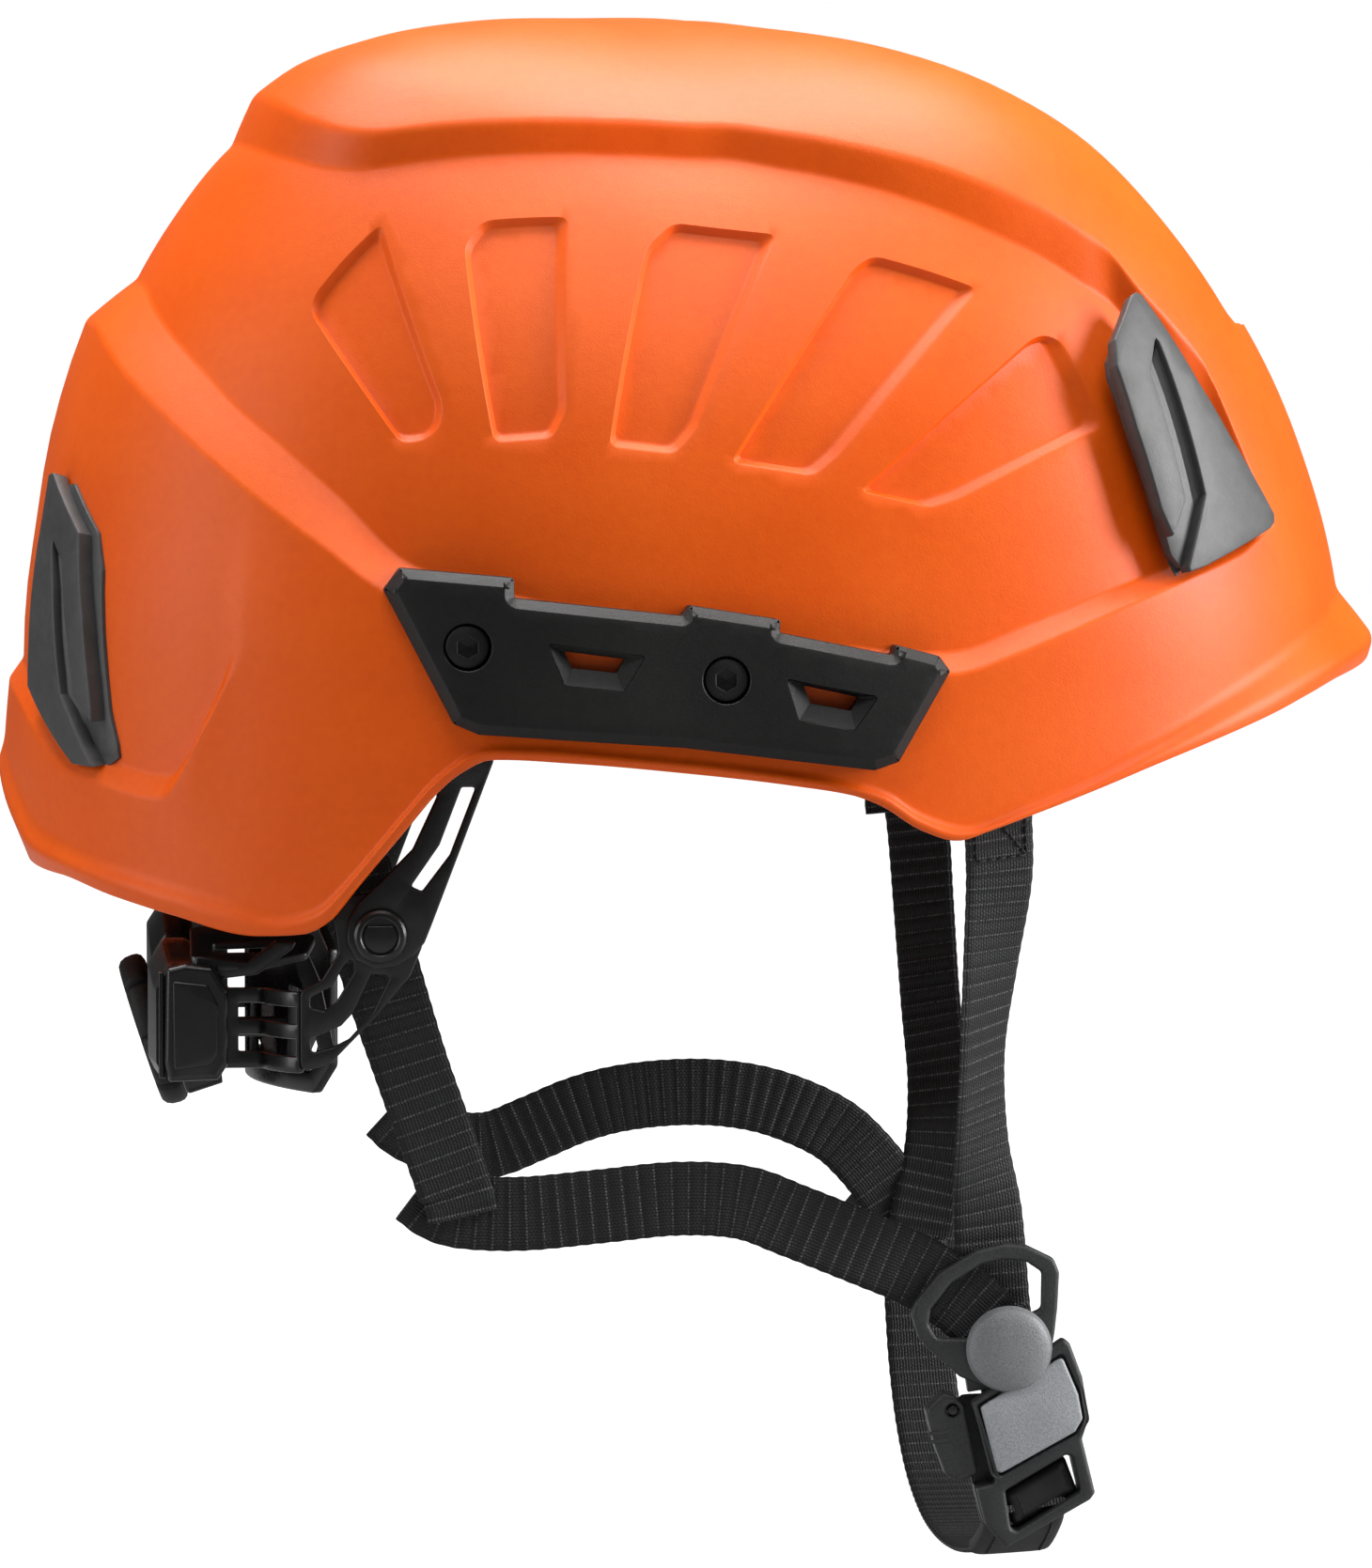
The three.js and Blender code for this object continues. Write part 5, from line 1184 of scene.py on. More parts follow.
REAR_PLATE = [
    [164.8, 15.75], [163.75, 15.93], [156.91, 11.2], [154.75, 3.77], [153.65, -2.05],
    [153.37, -4.52], [156.22, -2.31], [157.28, 2.45], [159.19, 8.7], [161.79, 10.57],
    [160.26, 6.43], [158.21, -2.17], [153.81, -7.54], [153.17, -8.06], [154.15, -8.01],
    [156.64, -7.83], [165.53, -1.71], [165.23, 1.65], [165.17, 9.69]]
REAR_FACET = [
    [163.32, 10.62], [160.46, 8.74], [158.41, 2.43], [157.27, -2.37], [153.85, -6.3],
    [151.74, -6.11], [151.49, -7.43], [153.05, -8.2], [154.73, -7.64], [159.38, -2.24],
    [161.61, 6.45]]


def clip(name, foot, plate, facet, high, middle, low, slope):
    """One-piece sprung clip. high, middle and low are levels of the plate's face, the facet and
    the plate's underside; slope gives three (facet corner, level) that the facet goes through."""
    to_xyz, to_sheet, _ = dome_sheet(-np.mean([p[0] for p in plate]),
                                     np.mean([p[1] for p in plate]))
    foot, plate, facet = (np.array([to_sheet(-b, e) for b, e in shape])
                          for shape in (foot, plate, facet))
    base = middle - 2.0
    a, b, c = np.linalg.solve(np.array([[facet[i][0], facet[i][1], 1] for i, _ in slope]),
                              [level for _, level in slope])

    def tilt(u, v, w):
        share = np.clip((w - middle + 2.0) / 2.0, 0, 1)
        top = np.clip(a * u + b * v + c, middle - 1.9, high - 0.05)
        return to_xyz(u, v, np.where(w > base, base + share * (top - middle + 2.0), w))
    part = merge(
        slab(loop(plate, 0.45, 2, 3.2), low, high, to_xyz, bevel=(0.3, 0.4), grid=3.2),
        slab(loop(facet, 0.3, 2, 2.5), 3.9, middle, tilt, bevel=(0.1, 0.12), steps=2, grid=2.5),
        slab(loop(inset(ccw(foot), 1.6), 1.0, 2, 3.2), 3.9, low + 0.35, to_xyz,
             bevel=(0.1, 0.2), steps=2, grid=3.6))
    add_pair(name + "_clip", part, CLIP_GREY, "shell", name + "_lamp_clip",
             sharp=30)


clip("front", FRONT_FOOT, FRONT_PLATE, FRONT_FACET, high=7.8, middle=6.2, low=5.4,
     slope=[(1, 7.7), (2, 7.7), (8, 4.6)])
clip("rear", REAR_FOOT, REAR_PLATE, REAR_FACET, high=9.6, middle=8.6, low=6.4,
     slope=[(10, 9.4), (9, 9.4), (3, 6.9)])

# ------------------------------------------------------------------ hangers, pivots, yoke
PIVOT = (-68.5, -89.1, -146.05)
PIVOT_HOLE = circle(PIVOT[0], PIVOT[2], 3.4, 28)
HANGER = [
    [-56, -98], [-43.5, -98], [-45.9, -111.6], [-52.47, -129], [-58.2, -144], [-59.6, -147.5],
    [-61.8, -150], [-65.2, -152.2], [-69.5, -152.8], [-73.2, -150.8], [-75, -147.4],
    [-74.8, -142.8], [-72.4, -139], [-68.5, -135.4], [-62, -128.8], [-57.2, -118.5]]
HANGER_SLOT = [[-52.2, -116.5], [-49.4, -116.5], [-54.6, -130], [-60.1, -137.2], [-62.3, -136.2],
               [-56.6, -128]]
add_pair("hanger_bar", slab(loop(HANGER, 1.6, 4, 4), -0.95, 0.95, side_plane(-93.95),
                            holes=[loop(HANGER_SLOT, 0.5, 2), PIVOT_HOLE], bevel=(0.35, 0.45)),
         NYLON, "shell", "hanger")
add_pair("hanger_hook", slab(loop(rect(-59, -40.5, -104, -92), 1.2), -1.1, 1.1,
                             side_plane(-91.5), bevel=(0.3, 0.4),
                             holes=[loop(rect(-53, -46.5, -100.5, -96), 0.6, 2)]),
         NYLON, "shell", "hanger_clip")
# pivot: collar (radius, distance outwards) with a D-shaped key in it
COLLAR = [(0, 0), (5.0, 0), (5.2, 0.2), (5.2, 1.0), (5.0, 1.2), (3, 1.3), (3, 6.1), (5.1, 6.2),
          (5.35, 6.4), (5.4, 6.9), (5.2, 7.6), (4.7, 8.0), (4.0, 8.1), (3.75, 7.9), (3.7, 6.9),
          (0, 6.85)]
key = [(PIVOT[0] + 3.35 * math.cos(t), PIVOT[2] + 3.35 * math.sin(t))
       for t in np.linspace(math.radians(40), math.radians(-220), 40)]
pivot = merge(lathe(COLLAR, 56, PIVOT, (0, -1, 0)),
              slab(loop(key, 0.25, 2), -2.2, 0.0, side_plane(PIVOT[1] - 7.75),
                   bevel=(0.05, 0.3)))
add_pair("pivot", pivot, NYLON, "shell", "pivot_button", sharp=30)

YOKE = [
    [-75.2, -138.2], [-70.5, -137.6], [-64.5, -138.8], [-60.6, -142.5], [-60, -148.5],
    [-62.5, -154.5], [-70, -163.2], [-78, -171.4], [-84.3, -173.6], [-84.3, -157.4],
    [-80, -155], [-76.6, -149.5], [-77.6, -142.5]]
YOKE_HOLES = [
    [[-73.9, -150.5], [-75.6, -152.2], [-77.9, -156.2], [-82.3, -158.3], [-82.3, -160.5],
     [-79.5, -161.2], [-77.2, -159.5], [-73.6, -153.6]],
    [[-70.2, -153.9], [-66.2, -154.2], [-69.8, -161.6], [-74.6, -166.8], [-77.6, -168.3],
     [-82.0, -169.6], [-82.3, -166.6], [-76.2, -164.2], [-73.8, -161.6]]]
# plan (x, y) of the bars' outer and inner faces
BARS_OUT = [[-84, -92.5], [-87.2, -90.3], [-90.6, -85], [-93.2, -80.4], [-105.3, -80.4]]
BARS_IN = [[-84, -90.7], [-85.9, -88.6], [-88.8, -83.6], [-91.8, -78.2], [-105.3, -78.2]]


def yoke_bars():
    "three bars that turn inwards behind the pivot and run straight back into the housing"
    middle = (np.array(BARS_OUT) + np.array(BARS_IN)) / 2
    line, distance = even(spline(np.hstack([middle, np.zeros((5, 1))]), 10), 0.8)
    line = line[:, :2]
    along = np.gradient(line, axis=0)
    along /= np.linalg.norm(along, axis=1, keepdims=True)
    length = distance[-1]

    def place(u, v, w):
        s = np.clip(u, 0, length)
        x, y, along_x, along_y = (np.interp(s, distance, column)
                                  for column in (*line.T, *along.T))
        return np.stack([x - along_y * w, y + along_x * w, v], -1)
    holes = [[[0.7, -170.4], [19.4, -170.2], [19.4, -166.8], [0.7, -166.8]],
             [[0.7, -163.9], [19.4, -163.8], [19.4, -160.4], [0.7, -160.4]]]
    return slab(loop(rect(0, length, -173.6, -157.4), 0.5, 2, 1.6), -0.95, 0.95, place,
                holes=[loop(h, 0.4, 2, 1.5) for h in holes], bevel=(0.3, 0.35), steps=2,
                grid=1.8)


yoke = merge(slab(loop(YOKE, 1.6, 4, 4), -0.9, 0.9, side_plane(-91.6), bevel=(0.3, 0.4),
                  holes=[loop(h, 0.7) for h in YOKE_HOLES] + [PIVOT_HOLE]), yoke_bars())
add_pair("yoke", yoke, BAND_BLACK, "yoke", "yoke_arm", sharp=36)

# ------------------------------------------------------------------ cradle housing
DIAL_TILT = math.radians(18)
COS, SIN = math.cos(DIAL_TILT), math.sin(DIAL_TILT)
DIAL_AXIS = (-COS, 0, -SIN)


def dial_frame(places):
    "first rearward and down the dial's axis, then to the wearer's right, then up"
    back, right, up = np.moveaxis(np.asarray(places, float), -1, 0)
    return np.stack([-108.5 - COS * back - SIN * up, -right, -171 - SIN * back + COS * up], -1)


def dial_plane(distance):
    "a plate across the dial's axis; w towards the rear"
    return lambda u, v, w: dial_frame(np.stack([distance + w, u, v], -1))


DIAL = dial_frame([0, 0, 0])
# section swept sideways: y, x rear, x front, z low, z high, corner
SHOULDER = [
    (41.6, -112.9, -104.6, -175.7, -156.2, 2.0), (43, -113.6, -104.4, -176.0, -154.5, 2.2),
    (50, -114.2, -104.6, -176.2, -150.2, 2.4), (58, -114.5, -104.8, -176.2, -149.0, 2.6),
    (66, -114.0, -104.6, -176.2, -150.6, 2.6), (73, -113.4, -103.0, -176.2, -152.4, 2.4),
    (77.45, -112.9, -99.6, -176.0, -152.8, 2.0)]


def shoulder():
    verts = []
    rows = spline(SHOULDER, 4)
    for y, rear, front, low, high, corner in rows:
        section = loop([[rear + 1.6, low], [front, low + 0.3], [front, high - 1.4],
                        [front - 2.4, high], [rear + 3.2, high], [rear, high - 5.0],
                        [rear, low + 3.4]], corner * 0.6)
        verts += [(x, -y, z) for x, z in section]
    return np.array(verts, float), stack_faces(len(rows), len(section), capped=True)


# end plate of the housing and the strips between it and the shoulder, all in x, z
END_PLATE = [[-110.9, -153.2], [-107.0, -152.2], [-101.6, -152.8], [-98.6, -157.8],
             [-98.6, -172.6], [-100.6, -175.6], [-110.4, -176.0], [-111.2, -172]]
TOP_STRIP = [[-110.9, -156.6], [-110.9, -153.4], [-107.0, -152.4], [-101.9, -153.0],
             [-99.4, -156.6]]
BASE_STRIP = [[-110.6, -175.8], [-110.6, -174.4], [-99.4, -174.4], [-100.8, -175.6]]
# rear view of the housing: to the right, up
HULL = [(-43.6, -11.6), (43.6, -11.6), (43.9, 11.9), (-43.9, 11.9)]
hull = loop(HULL, 2.2, 4, 5)
mid_plane = side_plane(0)
end = merge(
    shoulder(),
    slab(loop(END_PLATE, 0.8, 3, 3), 81.05, 84.2, mid_plane, bevel=(0.2, 1.3), steps=4),
    slab(loop(TOP_STRIP, 0.4, 2), 77.2, 81.3, mid_plane, bevel=(0.05, 0.05)),
    slab(loop(BASE_STRIP, 0.3, 2), 77.2, 81.3, mid_plane, bevel=(0.05, 0.05)),
    slab(loop(rect(-112.4, -111.3, -175.4, -154), 0.3, 2), 77.2, 81.6, mid_plane,
         bevel=(0.05, 0.3)))
housing = merge(
    slab(hull, -6.2, 0.3, dial_plane(0), holes=[loop(rect(-42, 42, -9.6, 9.6), 0.8, 2, 6)],
         bevel=(0.4, 0.1)),
    slab(hull, 0.02, 1.6, dial_plane(0), holes=[circle(0, 0, 2.9)], bevel=(0.05, 0.9), steps=4,
         grid=6),
    end, mirror(end))
add("housing_case", housing, NYLON, "cradle", "adjuster_housing")

# trim: raised panel round the dial; on each end an inlay, a sloping bracket, a lip and a post
DIAL_PANEL = [(-27, -9.6), (27, -9.6), (34, -6), (35.5, 0), (34, 6), (27, 9.6), (-27, 9.6),
              (-34, 6), (-35.5, 0), (-34, -6)]
INLAY = [[-109.6, -155.6], [-102.6, -156.4], [-100.6, -160.4], [-100.6, -170.2],
         [-102.0, -172.6], [-109.4, -173.6]]
# x, distance to the right
BRACKET = [[-106, 62], [-99, 60.5], [-87, 61], [-80.5, 66.5], [-82.5, 74.5], [-92, 79.4],
           [-101, 79.6], [-106, 76]]
BRACKET_HOLE = [[-101.5, 69.5], [-89, 68.5], [-86.4, 70.8], [-90.4, 74.2], [-101.5, 74.4]]
LIP = [[-105.4, -153.8], [-99.4, -155.6], [-92.6, -154.8], [-85.6, -149.8], [-84.6, -148.2],
       [-88.8, -148.0], [-94.4, -152.2], [-104.8, -151.0]]
POST = [[-86.4, -150.0], [-82.6, -150.0], [-79.4, -157.5], [-76.4, -172], [-79.8, -172],
        [-83.2, -159.0]]


def bracket_plane(u, v, w):
    "slopes down towards the side"
    return np.stack([u, -v, -148.6 - (v - 66) * 0.34 + w], -1)


side_trim = merge(
    slab(loop(INLAY, 0.7), 84.05, 84.75, mid_plane, bevel=(0.05, 0.45)),
    slab(loop(BRACKET, 1.6, 4, 3), -0.9, 0.9, bracket_plane,
         holes=[loop(BRACKET_HOLE, 1.1, 3, 3)], bevel=(0.35, 0.5)),
    slab(loop(LIP, 0.5, 2), 77.6, 79.5, mid_plane, bevel=(0.3, 0.5)),
    slab(loop(POST, 0.8, 3, 3), 60.6, 63.0, mid_plane, bevel=(0.4, 0.5)))
trim = merge(slab(loop(DIAL_PANEL, 1.0, 3, 6), 0, 0.9, dial_plane(1.5),
                  holes=[circle(0, 0, 9.0, 40)], bevel=(0.05, 0.5)),
             side_trim, mirror(side_trim))
add("housing_trim", trim, BAND_BLACK, "cradle", None)
from_cad("adjuster_cover", "housing_cover", BAND_BLACK, "cradle", bevel=0.25)
for rack in ("left_rack", "right_rack"):
    from_cad(rack, rack + "_strip", BAND_BLACK, rack, bevel=0.12, steps=2)
from_cad("pinion", "pinion_gear", STEEL, "dial", bevel=0.12, steps=2)

# ------------------------------------------------------------------ dial
# radius, distance to the rear
KNOB = [(1.3, 0.1), (2.6, 0.1), (2.6, 2.1), (12.6, 2.1), (13.0, 2.5), (13.1, 4.6), (13.1, 6.6),
        (12.4, 7.2), (11.2, 7.5), (7.0, 7.55), (4.2, 7.5), (3.5, 7.3), (3.3, 6.9), (3.3, 5.6),
        (1.3, 5.6), (1.3, 0.1)]
GRIP = [(13.3, 2.2), (14.6, 2.1), (15.7, 2.5), (16.3, 3.3), (16.45, 4.4), (16.3, 6.0),
        (15.8, 7.1), (14.9, 7.8), (13.9, 7.9), (13.3, 7.5), (13.3, 2.2)]
KNOB_RIB = [(5.0, -0.45), (10.6, -0.75), (10.6, 0.75), (5.0, 0.45)]


def knob_rib(angle):
    cos, sin = math.cos(angle), math.sin(angle)
    turned = [(x * cos - y * sin, x * sin + y * cos) for x, y in KNOB_RIB]
    return slab(loop(turned, 0.35, 2), 0, 0.35, dial_plane(7.5), bevel=(0.02, 0.25), steps=2)


def grip_lobes(radius, angle):
    "eight broad lobes with narrow grooves between them"
    if radius < 13.8:
        return radius
    return radius - 1.15 * max(0.0, 1 - abs(math.sin(4 * angle)) / 0.30) ** 1.5


knob = merge(lathe(KNOB, 96, DIAL, DIAL_AXIS),
             *[knob_rib(k * math.pi / 3 + 0.2) for k in range(6)])
fix_normals(add("dial_disc", knob, NYLON, "dial", "dial_knob", sharp=30))
fix_normals(add("dial_ring", lathe(GRIP, 240, DIAL, DIAL_AXIS, grip_lobes), RUBBER, "dial",
                "dial_grip", sharp=38))
from_cad("dial_screw", "dial_centre_screw", STEEL, "dial", bevel=0.15, steps=2)

# ------------------------------------------------------------------ nape frame, headband
NAPE_RADIUS = 88.5
NAPE_X = -3.0
NAPE_ARC = 90.0   # radius at which the nape pieces are drawn unrolled


def nape(u, v, w):
    "wraps a flat (arc length, height) round the nape, w outwards"
    a = u / NAPE_ARC
    r = NAPE_RADIUS + w
    return np.stack([NAPE_X - r * np.cos(a), -r * np.sin(a), v], -1)


half = math.radians(35) * NAPE_ARC
NAPE_OUTLINE = [[-half, -176], [-half + 6, -182], [half - 6, -182], [half, -176], [half, -152],
                [half - 5, -145.5], [-half + 5, -145.5], [-half, -152]]
NAPE_HOLES = [
    [[9, -178], [33, -178], [31, -163], [11, -163]],
    [[38.5, -177.5], [48, -177.5], [50.5, -172], [50, -162], [39, -160]],
    [[9, -155.5], [37, -155.5], [34, -149], [11, -149]]]
nape_holes = [loop([[side * u, v] for u, v in hole], 1.1, 3, 3)
              for side in (1, -1) for hole in NAPE_HOLES]
post = slab(loop(rect(-102.2, -84.5, -171, -167), 0.5, 2), 34.5, 37.1, mid_plane,
            bevel=(0.4, 0.4))
nape_frame = merge(slab(loop(NAPE_OUTLINE, 2.0, 3, 3), 0, 2.4, nape, holes=nape_holes,
                        bevel=(0.4, 0.5), grid=4), post, mirror(post))
fix_normals(add("nape_frame_shell", nape_frame, NYLON, "cradle", "nape_frame",
                sharp=34))
DEGREE = 1.9   # millimetres to a degree where strips are drawn flat


def strip(extent, low, high, holes=(), bevel=0.35, corner=1.6):
    "a plate round the inside of the shell; extents are bearings, then elevations"
    def flat(box, radius, steps):
        return loop(rect(*[value * DEGREE for value in box]), radius, steps, 3)
    return slab(flat(extent, corner, 4), low, high,
                lambda u, v, w: on_dome(u / DEGREE, v / DEGREE, w),
                holes=[flat(h, 0.8, 2) for h in holes], bevel=(bevel, bevel), steps=2, grid=3.4)


slots = [(c - 4.2, c + 4.2, -3.6, -1.2) for c in range(-54, 55, 12)]
headband = strip((-62, 62, -6.5, 1.5), -17.6, -15.6, slots)
fix_normals(add("headband_strip", headband, NYLON, "shell", "headband", sharp=34))

# ------------------------------------------------------------------ webbing
WEB_THICK = 1.45
RIB_PITCH, RIB_HEIGHT = 3.1, 0.26


def flat_set(rows):
    "stations from x, y, z and the half width's x and y"
    return [(*row, 0.0) for row in rows]


def edge_set(rows):
    "stations from x, y, z and the half width's x and z"
    return [(x, y, z, wx, 0.0, wz) for x, y, z, wx, wz in rows]


RIGHT_FRONT = flat_set([
    [55.0, -97.2, -104, 6.9, 2.6], [54.82, -97.5, -120.76, 6.95, 2.6],
    [55.38, -95.2, -135.25, 6.9, 2.9], [54.17, -91, -153.6, 5.89, 4.65],
    [53.23, -85.6, -172.32, 4.96, 5.62], [53.69, -81, -191.13, 5.75, 4.6],
    [55.4, -77.6, -206, 7.1, 1.8], [56.5, -76.9, -221.4, 7.4, 0.5],
    [57.2, -77.0, -229.5, 7.4, 0.3]])
LEFT_FRONT = flat_set([
    (57.3, 96.4, -104, 6.9, -2.6), (58.6, 96.3, -120.76, 6.95, -2.6),
    (60.2, 94.2, -135.25, 6.6, -3.4), (61.2, 91, -154, 6.3, -4.0),
    (62.2, 86, -175, 6.1, -4.3), (63.4, 81.2, -192, 6.4, -3.9),
    (63, 77.5, -206.5, 7.1, -1.8), (60, 76.7, -221.4, 7.4, -0.5),
    (58.6, 77, -229.5, 7.4, -0.3)])
# x, y, z of the centre, x, y, z of the half width
REAR = [
    [-82.5, -87.9, -100, 6.5, -2.9, 2.2], [-79, -89.4, -114, 6.5, -2.9, 2.2],
    [-74.39, -88.4, -129.16, 6.6, -2.2, 2.4], [-69.61, -85.1, -146.56, 6.9, -1.2, 2.4],
    [-62.74, -84.2, -170.35, 7.0, -0.4, 2.4], [-58.34, -83.6, -183.27, 7.1, 0.3, 2.4],
    [-53, -83.2, -198.5, 7.1, 0.5, 2.4]]
RIGHT_LOWER = edge_set([(x, y, z, 0.5, 7.45) for x, y, z in (
    [-60.5, -81, -198.2], [-56, -81, -201.5], [-50.07, -81, -203], [-38.7, -81, -203.33],
    [-23.49, -80.8, -202], [-8.24, -80.3, -200.67], [5.14, -79.8, -201.6],
    [15.92, -79, -205.63], [30.19, -78, -211.5], [41, -77.4, -216.2])]
    + [(49.5, -78.3, -221.6, 1.8, 7.3), (56.0, -78.6, -227.5, 3.4, 6.6)])
LEFT_LOWER = edge_set([
    (-60.5, 81, -198.2, 0.5, 7.45), (-56, 81, -202.2, 0.5, 7.45), (-48, 81, -205.6, 0.2, 7.45),
    (-38, 81, -206.2, -1.2, 7.35), (-28.2, 81, -202.6, -2.6, 7.0),
    (-18.6, 80.8, -198.6, -2.2, 7.1), (-8.5, 80.5, -195.9, -1.2, 7.35),
    (4.1, 80.3, -194.6, 0, 7.45), (15.8, 80, -195, 0.9, 7.4), (27, 79.8, -197.4, 2.0, 7.2),
    (38.7, 79.2, -202.6, 3.0, 6.8), (46, 78.4, -209, 3.6, 6.5), (52.5, 78.4, -217.5, 4.6, 5.8),
    (57, 78.6, -226, 5.2, 5.2)])
FOLD = [(-53.4, -82.6, -196.5, 7.1, 0.5, 2.4), (-52.2, -82.9, -200.5, 6.6, 0.4, 3.4),
        (-51.6, -82.5, -203.6, 4.8, 0.2, 5.6)]
TONGUE = edge_set([(56.9, -77.6, -224.6, 7.2, 1.1), (58.2, -77.6, -230, 7.2, 1.1),
                   (59.3, -77.6, -235.2, 7.2, 1.1)])
# from the buckle under the chin to the left divider
CHIN = edge_set([
    [64.1, -80.6, -264, 7.36, 1.15], [64.1, -76.8, -264, 7.36, 1.15],
    [64.1, -73, -264.5, 7.36, 1.15], [64.2, -69.4, -266.2, 7.36, 1.1],
    [64.2, -62, -270.8, 7.4, 0.8], [63.6, -46, -277.4, 7.45, 0.4], [62, -24, -281.5, 7.45, 0],
    [61, 0, -282.6, 7.45, 0], [60.4, 24, -281.2, 7.45, 0], [59.6, 44, -275.6, 7.45, 0],
    [58.8, 58, -266, 7.45, 0], [58.2, 67, -254, 7.45, 0], [57.8, 72.4, -240, 7.45, 0],
    [57.4, 75, -228, 7.45, 0]])


def strap_line(stations):
    "stations every half millimetre, and their distances"
    return even(spline(stations, 24), 0.5)


def strap_frame(stations, square=True):
    "centres, widthwise and facing directions, and distances; square trues up the width"
    line, distance = strap_line(stations)
    centre, across = line[:, :3], line[:, 3:6]
    along = np.gradient(centre, axis=0)
    along /= np.linalg.norm(along, axis=1, keepdims=True)
    if square:
        across = across - along * np.sum(across * along, 1, keepdims=True)
    across = across / np.linalg.norm(across, axis=1, keepdims=True)
    return centre, across, np.cross(along, across), distance


def sample(table, distance, x):
    return np.stack([np.interp(x, distance, table[:, k]) for k in range(3)], -1)


def webbing(name, stations, body=None, node=None, width=15, pair=False):
    "ribbed webbing; the section is a flat oval, the ribs of its two faces half a pitch apart"
    centre, across, normal, distance = strap_frame(stations)
    half = width / 2
    columns = np.linspace(-1, 1, 17)
    section = [(u, 1) for u in columns] + [(u, -1) for u in columns[::-1]]
    edge = np.array([math.sqrt(max(0.0, 1 - max(0.0, (abs(u) - 0.93) / 0.07) ** 2))
                     for u, _ in section])
    phase = 2 * math.pi * distance / RIB_PITCH
    ribs = {1: RIB_HEIGHT * (np.abs(np.sin(phase / 2)) ** 0.7 - 0.6),
            -1: RIB_HEIGHT * (np.abs(np.cos(phase / 2)) ** 0.7 - 0.6)}
    verts, uvs = [], []
    for i in range(len(centre)):
        scallop = 1 + 0.008 * math.sin(phase[i])
        for k, (u, face) in enumerate(section):
            height = (WEB_THICK / 2 * max(edge[k], 0.35)
                      + ribs[face][i] * edge[k] * (1 - 0.35 * abs(u) ** 6))
            verts.append(centre[i] + across[i] * u * half * scallop + normal[i] * face * height)
            uvs.append((u * half, distance[i]))
    m = len(section)
    faces = stack_faces(len(centre), m)
    # the ends are closed with quads so that they shade flat
    for first, turn in ((0, 1), ((len(centre) - 1) * m, -1)):
        for k in range(m // 2 - 1):
            quad = (first + k, first + k + 1, first + m - 2 - k, first + m - 1 - k)
            faces.append(quad[::turn])
    part = (verts, faces)
    for side, shape in ([("right_", part), ("left_", mirror(part))] if pair else [("", part)]):
        ob = add(side + name, shape, WEBBING, None, node and side + node, sharp=50,
                 uv=uvs)
        fix_normals(ob)
        if body:
            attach(ob, body)
    return ob


def thread(points, radius):
    "a round thread through the points"
    sides = 6
    points = np.asarray(points, float)
    along = np.gradient(points, axis=0)
    along /= np.linalg.norm(along, axis=1, keepdims=True)
    verts = []
    for point, direction in zip(points, along):
        a = np.cross(direction, np.array([0.3, 1.0, 0.2]))
        a /= np.linalg.norm(a)
        b = np.cross(direction, a)
        for k in range(sides):
            angle = 2 * math.pi * k / sides
            verts.append(point + radius * (math.cos(angle) * a + math.sin(angle) * b))
    return np.array(verts), stack_faces(len(points), sides, capped=True)


def on_web(stations, across_mm, along_mm, height):
    "points that stand above a strap's outer face"
    centre, across, normal, distance = strap_frame(stations)
    normal = sample(normal, distance, along_mm)
    outwards = np.where(normal[:, 1:2] < 0, 1.0, -1.0)
    return (sample(centre, distance, along_mm)
            + sample(across, distance, along_mm) * across_mm[:, None]
            + normal * outwards * (WEB_THICK / 2 + height))


def stitches(stations, path):
    "a broken line of stitches through (across, along) points"
    pitch, radius = 1.9, 0.22
    arch = 0.26 * np.sin(np.linspace(0, math.pi, 6)) + 0.05
    parts = []
    for (u0, t0), (u1, t1) in zip(path[:-1], path[1:]):
        count = max(1, int(math.hypot(u1 - u0, t1 - t0) / pitch))
        for k in range(count):
            share = np.linspace((k + 0.12) / count, (k + 0.86) / count, 6)
            u, t = u0 + (u1 - u0) * share, t0 + (t1 - t0) * share
            seat = on_web(stations, u, t, 0)
            normal = on_web(stations, u, t, 1) - seat
            parts.append(thread(seat + normal * arch[:, None], radius))
    return merge(*parts)


webbing("right_front_web", RIGHT_FRONT, "shell", "right_front_strap")
webbing("left_front_web", LEFT_FRONT, "shell", "left_front_strap")
webbing("rear_web", REAR, "shell", "rear_strap", pair=True)
webbing("right_lower_web", RIGHT_LOWER, "shell", "right_lower_strap")
webbing("left_lower_web", LEFT_LOWER, "shell", "left_lower_strap")
# a box of stitches with one diagonal: across, along
BOX_STITCH = [(-5.6, 13), (5.6, 13), (5.6, 27), (-5.6, 27), (-5.6, 13), (5.6, 27)]
add("right_front_stitching", stitches(RIGHT_FRONT, BOX_STITCH), THREAD, "shell", sharp=None)
add("left_front_stitching", stitches(LEFT_FRONT, BOX_STITCH), THREAD, "shell", sharp=None)
# doubled end of the front strap, behind its face
front_line = strap_line(RIGHT_FRONT)[0]
doubled = [front_line[i] + np.array([0, 1.65, 0, 0, 0, 0]) for i in range(8, 58, 7)]
webbing("front_web_end", doubled, "shell", width=14.6, pair=True)
# the fold where the rear strap turns into the lower strap
webbing("fold_web", FOLD, "shell", width=14.4, pair=True)


